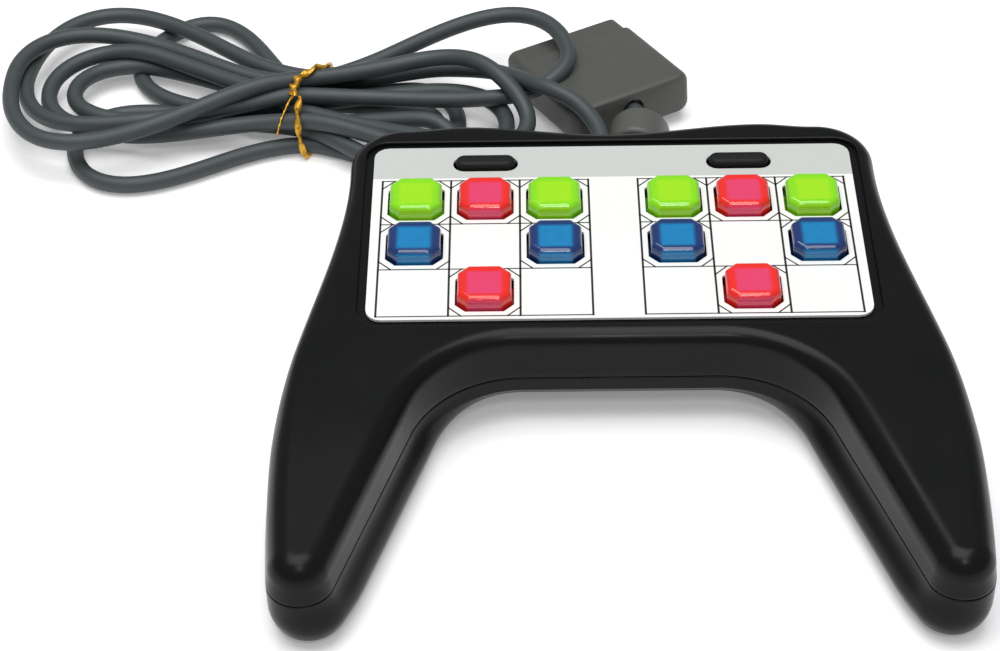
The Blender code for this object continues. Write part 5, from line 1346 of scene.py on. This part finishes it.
def make_studio(studio):
    """White table, a large soft lamp above, a small one in front, even sky and the camera."""
    scene = bpy.context.scene
    scene.view_settings.view_transform = "Standard"
    points = lifted(rectangle((0.0, 0.0), TABLE_HALF, TABLE_HALF), TABLE_Z)
    table = linked("table", plain_mesh("table", points, [(0, 1, 2, 3)], studio_floor(studio)))

    world = bpy.data.worlds.new("even_sky")
    world.use_nodes = True
    scene.world = world
    sky = world.node_tree.nodes["Background"]
    sky.inputs["Color"].default_value = (1.0, 1.0, 1.0, 1.0)
    sky.inputs["Strength"].default_value = studio.sky_strength

    for name, place, aim, size, power in LAMPS:
        data = bpy.data.lights.new(name, "AREA")
        data.shape, data.size, data.energy = "SQUARE", size, getattr(studio, power)
        lamp = linked(name, data)
        lamp.location = place
        lamp.rotation_euler = (Vector(aim) - Vector(place)).to_track_quat("-Z", "Y").to_euler()

    data = bpy.data.cameras.new("camera")
    data.lens, data.sensor_width, data.sensor_fit = studio.lens, 36.0, "HORIZONTAL"
    data.clip_start, data.clip_end = 0.05, 20.0
    camera = linked("camera", data)
    turn = Matrix((CAMERA_RIGHT, CAMERA_UP, -Vector(CAMERA_AHEAD))).transposed().to_4x4()
    camera.matrix_world = Matrix.Translation(CAMERA_PLACE) @ turn
    scene.camera = camera


class GAMEPAD_OT_studio(bpy.types.Operator):
    """Add the table, the lamps and the camera"""
    bl_idname = "gamepad.studio"
    bl_label = "Studio"

    def execute(self, context):
        make_studio(context.scene.gamepad_studio)
        return {"FINISHED"}


class GAMEPAD_OT_cord(bpy.types.Operator):
    """Add the plug, the bead, the tie and the cord that carries them"""
    bl_idname = "gamepad.cord"
    bl_label = "Cord, bead, tie and plug"

    def execute(self, context):
        cord = context.scene.gamepad_cord
        carried_pieces = [make_plug(cord), make_bead(cord), make_tie(cord),
                          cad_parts["plug_contact_block"]]
        make_cord(cord)
        return {"FINISHED"}


class GAMEPAD_OT_gland(bpy.types.Operator):
    """Add the rubber gland in the rear wall"""
    bl_idname = "gamepad.gland"
    bl_label = "Gland"

    def execute(self, context):
        make_gland()
        return {"FINISHED"}


class GAMEPAD_OT_shells(bpy.types.Operator):
    """Add the top and bottom shell"""
    bl_idname = "gamepad.shells"
    bl_label = "Shells"

    def execute(self, context):
        body = context.scene.gamepad_body
        finish = spark_eroded_abs(body)
        for name, parts in (("top_shell", top_shell_parts(body)), ("bottom_shell", bottom_shell_parts(body))):
            make_piece(name + "_skin", parts, finish, "case", (name,), smooth=38)
        return {"FINISHED"}


class GAMEPAD_OT_plate(bpy.types.Operator):
    """Finish the face plate and print its lines"""
    bl_idname = "gamepad.plate"
    bl_label = "Face plate"

    def execute(self, context):
        make_print(context.scene.gamepad_body)
        return {"FINISHED"}


class GAMEPAD_OT_keys(bpy.types.Operator):
    """Add the square keys and the pill keys"""
    bl_idname = "gamepad.keys"
    bl_label = "Keys"

    def execute(self, context):
        keys = context.scene.gamepad_keys
        make_square_keys(keys)
        make_pill_keys(keys)
        return {"FINISHED"}


class GAMEPAD_OT_keypads(bpy.types.Operator):
    """Add the rubber keypads with their domes"""
    bl_idname = "gamepad.keypads"
    bl_label = "Keypads"

    def execute(self, context):
        make_rubber_domes()
        return {"FINISHED"}


class GAMEPAD_OT_screws(bpy.types.Operator):
    """Add the case screws and the board screws"""
    bl_idname = "gamepad.screws"
    bl_label = "Screws"

    def execute(self, context):
        make_screws()
        return {"FINISHED"}


class GAMEPAD_OT_inside(bpy.types.Operator):
    """Finish the circuit board and what it carries"""
    bl_idname = "gamepad.inside"
    bl_label = "Board and its parts"

    def execute(self, context):
        finish_inside()
        return {"FINISHED"}


SETTINGS = (("gamepad_body", GamepadBodySettings), ("gamepad_keys", GamepadKeySettings),
            ("gamepad_cord", GamepadCordSettings), ("gamepad_studio", GamepadStudioSettings))
OPERATORS = (GAMEPAD_OT_studio, GAMEPAD_OT_cord, GAMEPAD_OT_gland, GAMEPAD_OT_shells, GAMEPAD_OT_plate,
             GAMEPAD_OT_keys, GAMEPAD_OT_keypads, GAMEPAD_OT_screws, GAMEPAD_OT_inside)


class GAMEPAD_PT_panel(bpy.types.Panel):
    """Lists the pieces of the gamepad and their settings."""
    bl_label = "Gamepad"
    bl_idname = "GAMEPAD_PT_panel"
    bl_space_type = "VIEW_3D"
    bl_region_type = "UI"
    bl_category = "Gamepad"

    def draw(self, context):
        for operator in OPERATORS:
            self.layout.operator(operator.bl_idname)
        for name, group in SETTINGS:
            box = self.layout.box()
            for field in group.__annotations__:
                box.prop(getattr(context.scene, name), field)


def register():
    """Register the settings, the operators and the panel."""
    for name, group in SETTINGS:
        bpy.utils.register_class(group)
        setattr(bpy.types.Scene, name, bpy.props.PointerProperty(type=group))
    for made in OPERATORS + (GAMEPAD_PT_panel,):
        bpy.utils.register_class(made)


def unregister():
    """Take them away again."""
    for made in (GAMEPAD_PT_panel,) + OPERATORS[::-1]:
        bpy.utils.unregister_class(made)
    for name, group in SETTINGS[::-1]:
        delattr(bpy.types.Scene, name)
        bpy.utils.unregister_class(group)


def main():
    """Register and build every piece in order."""
    register()
    bpy.ops.gamepad.studio()
    bpy.ops.gamepad.cord()
    bpy.ops.gamepad.gland()
    bpy.ops.gamepad.shells()
    bpy.ops.gamepad.plate()
    bpy.ops.gamepad.keys()
    bpy.ops.gamepad.keypads()
    bpy.ops.gamepad.screws()
    bpy.ops.gamepad.inside()


if __name__ == "__main__":
    main()
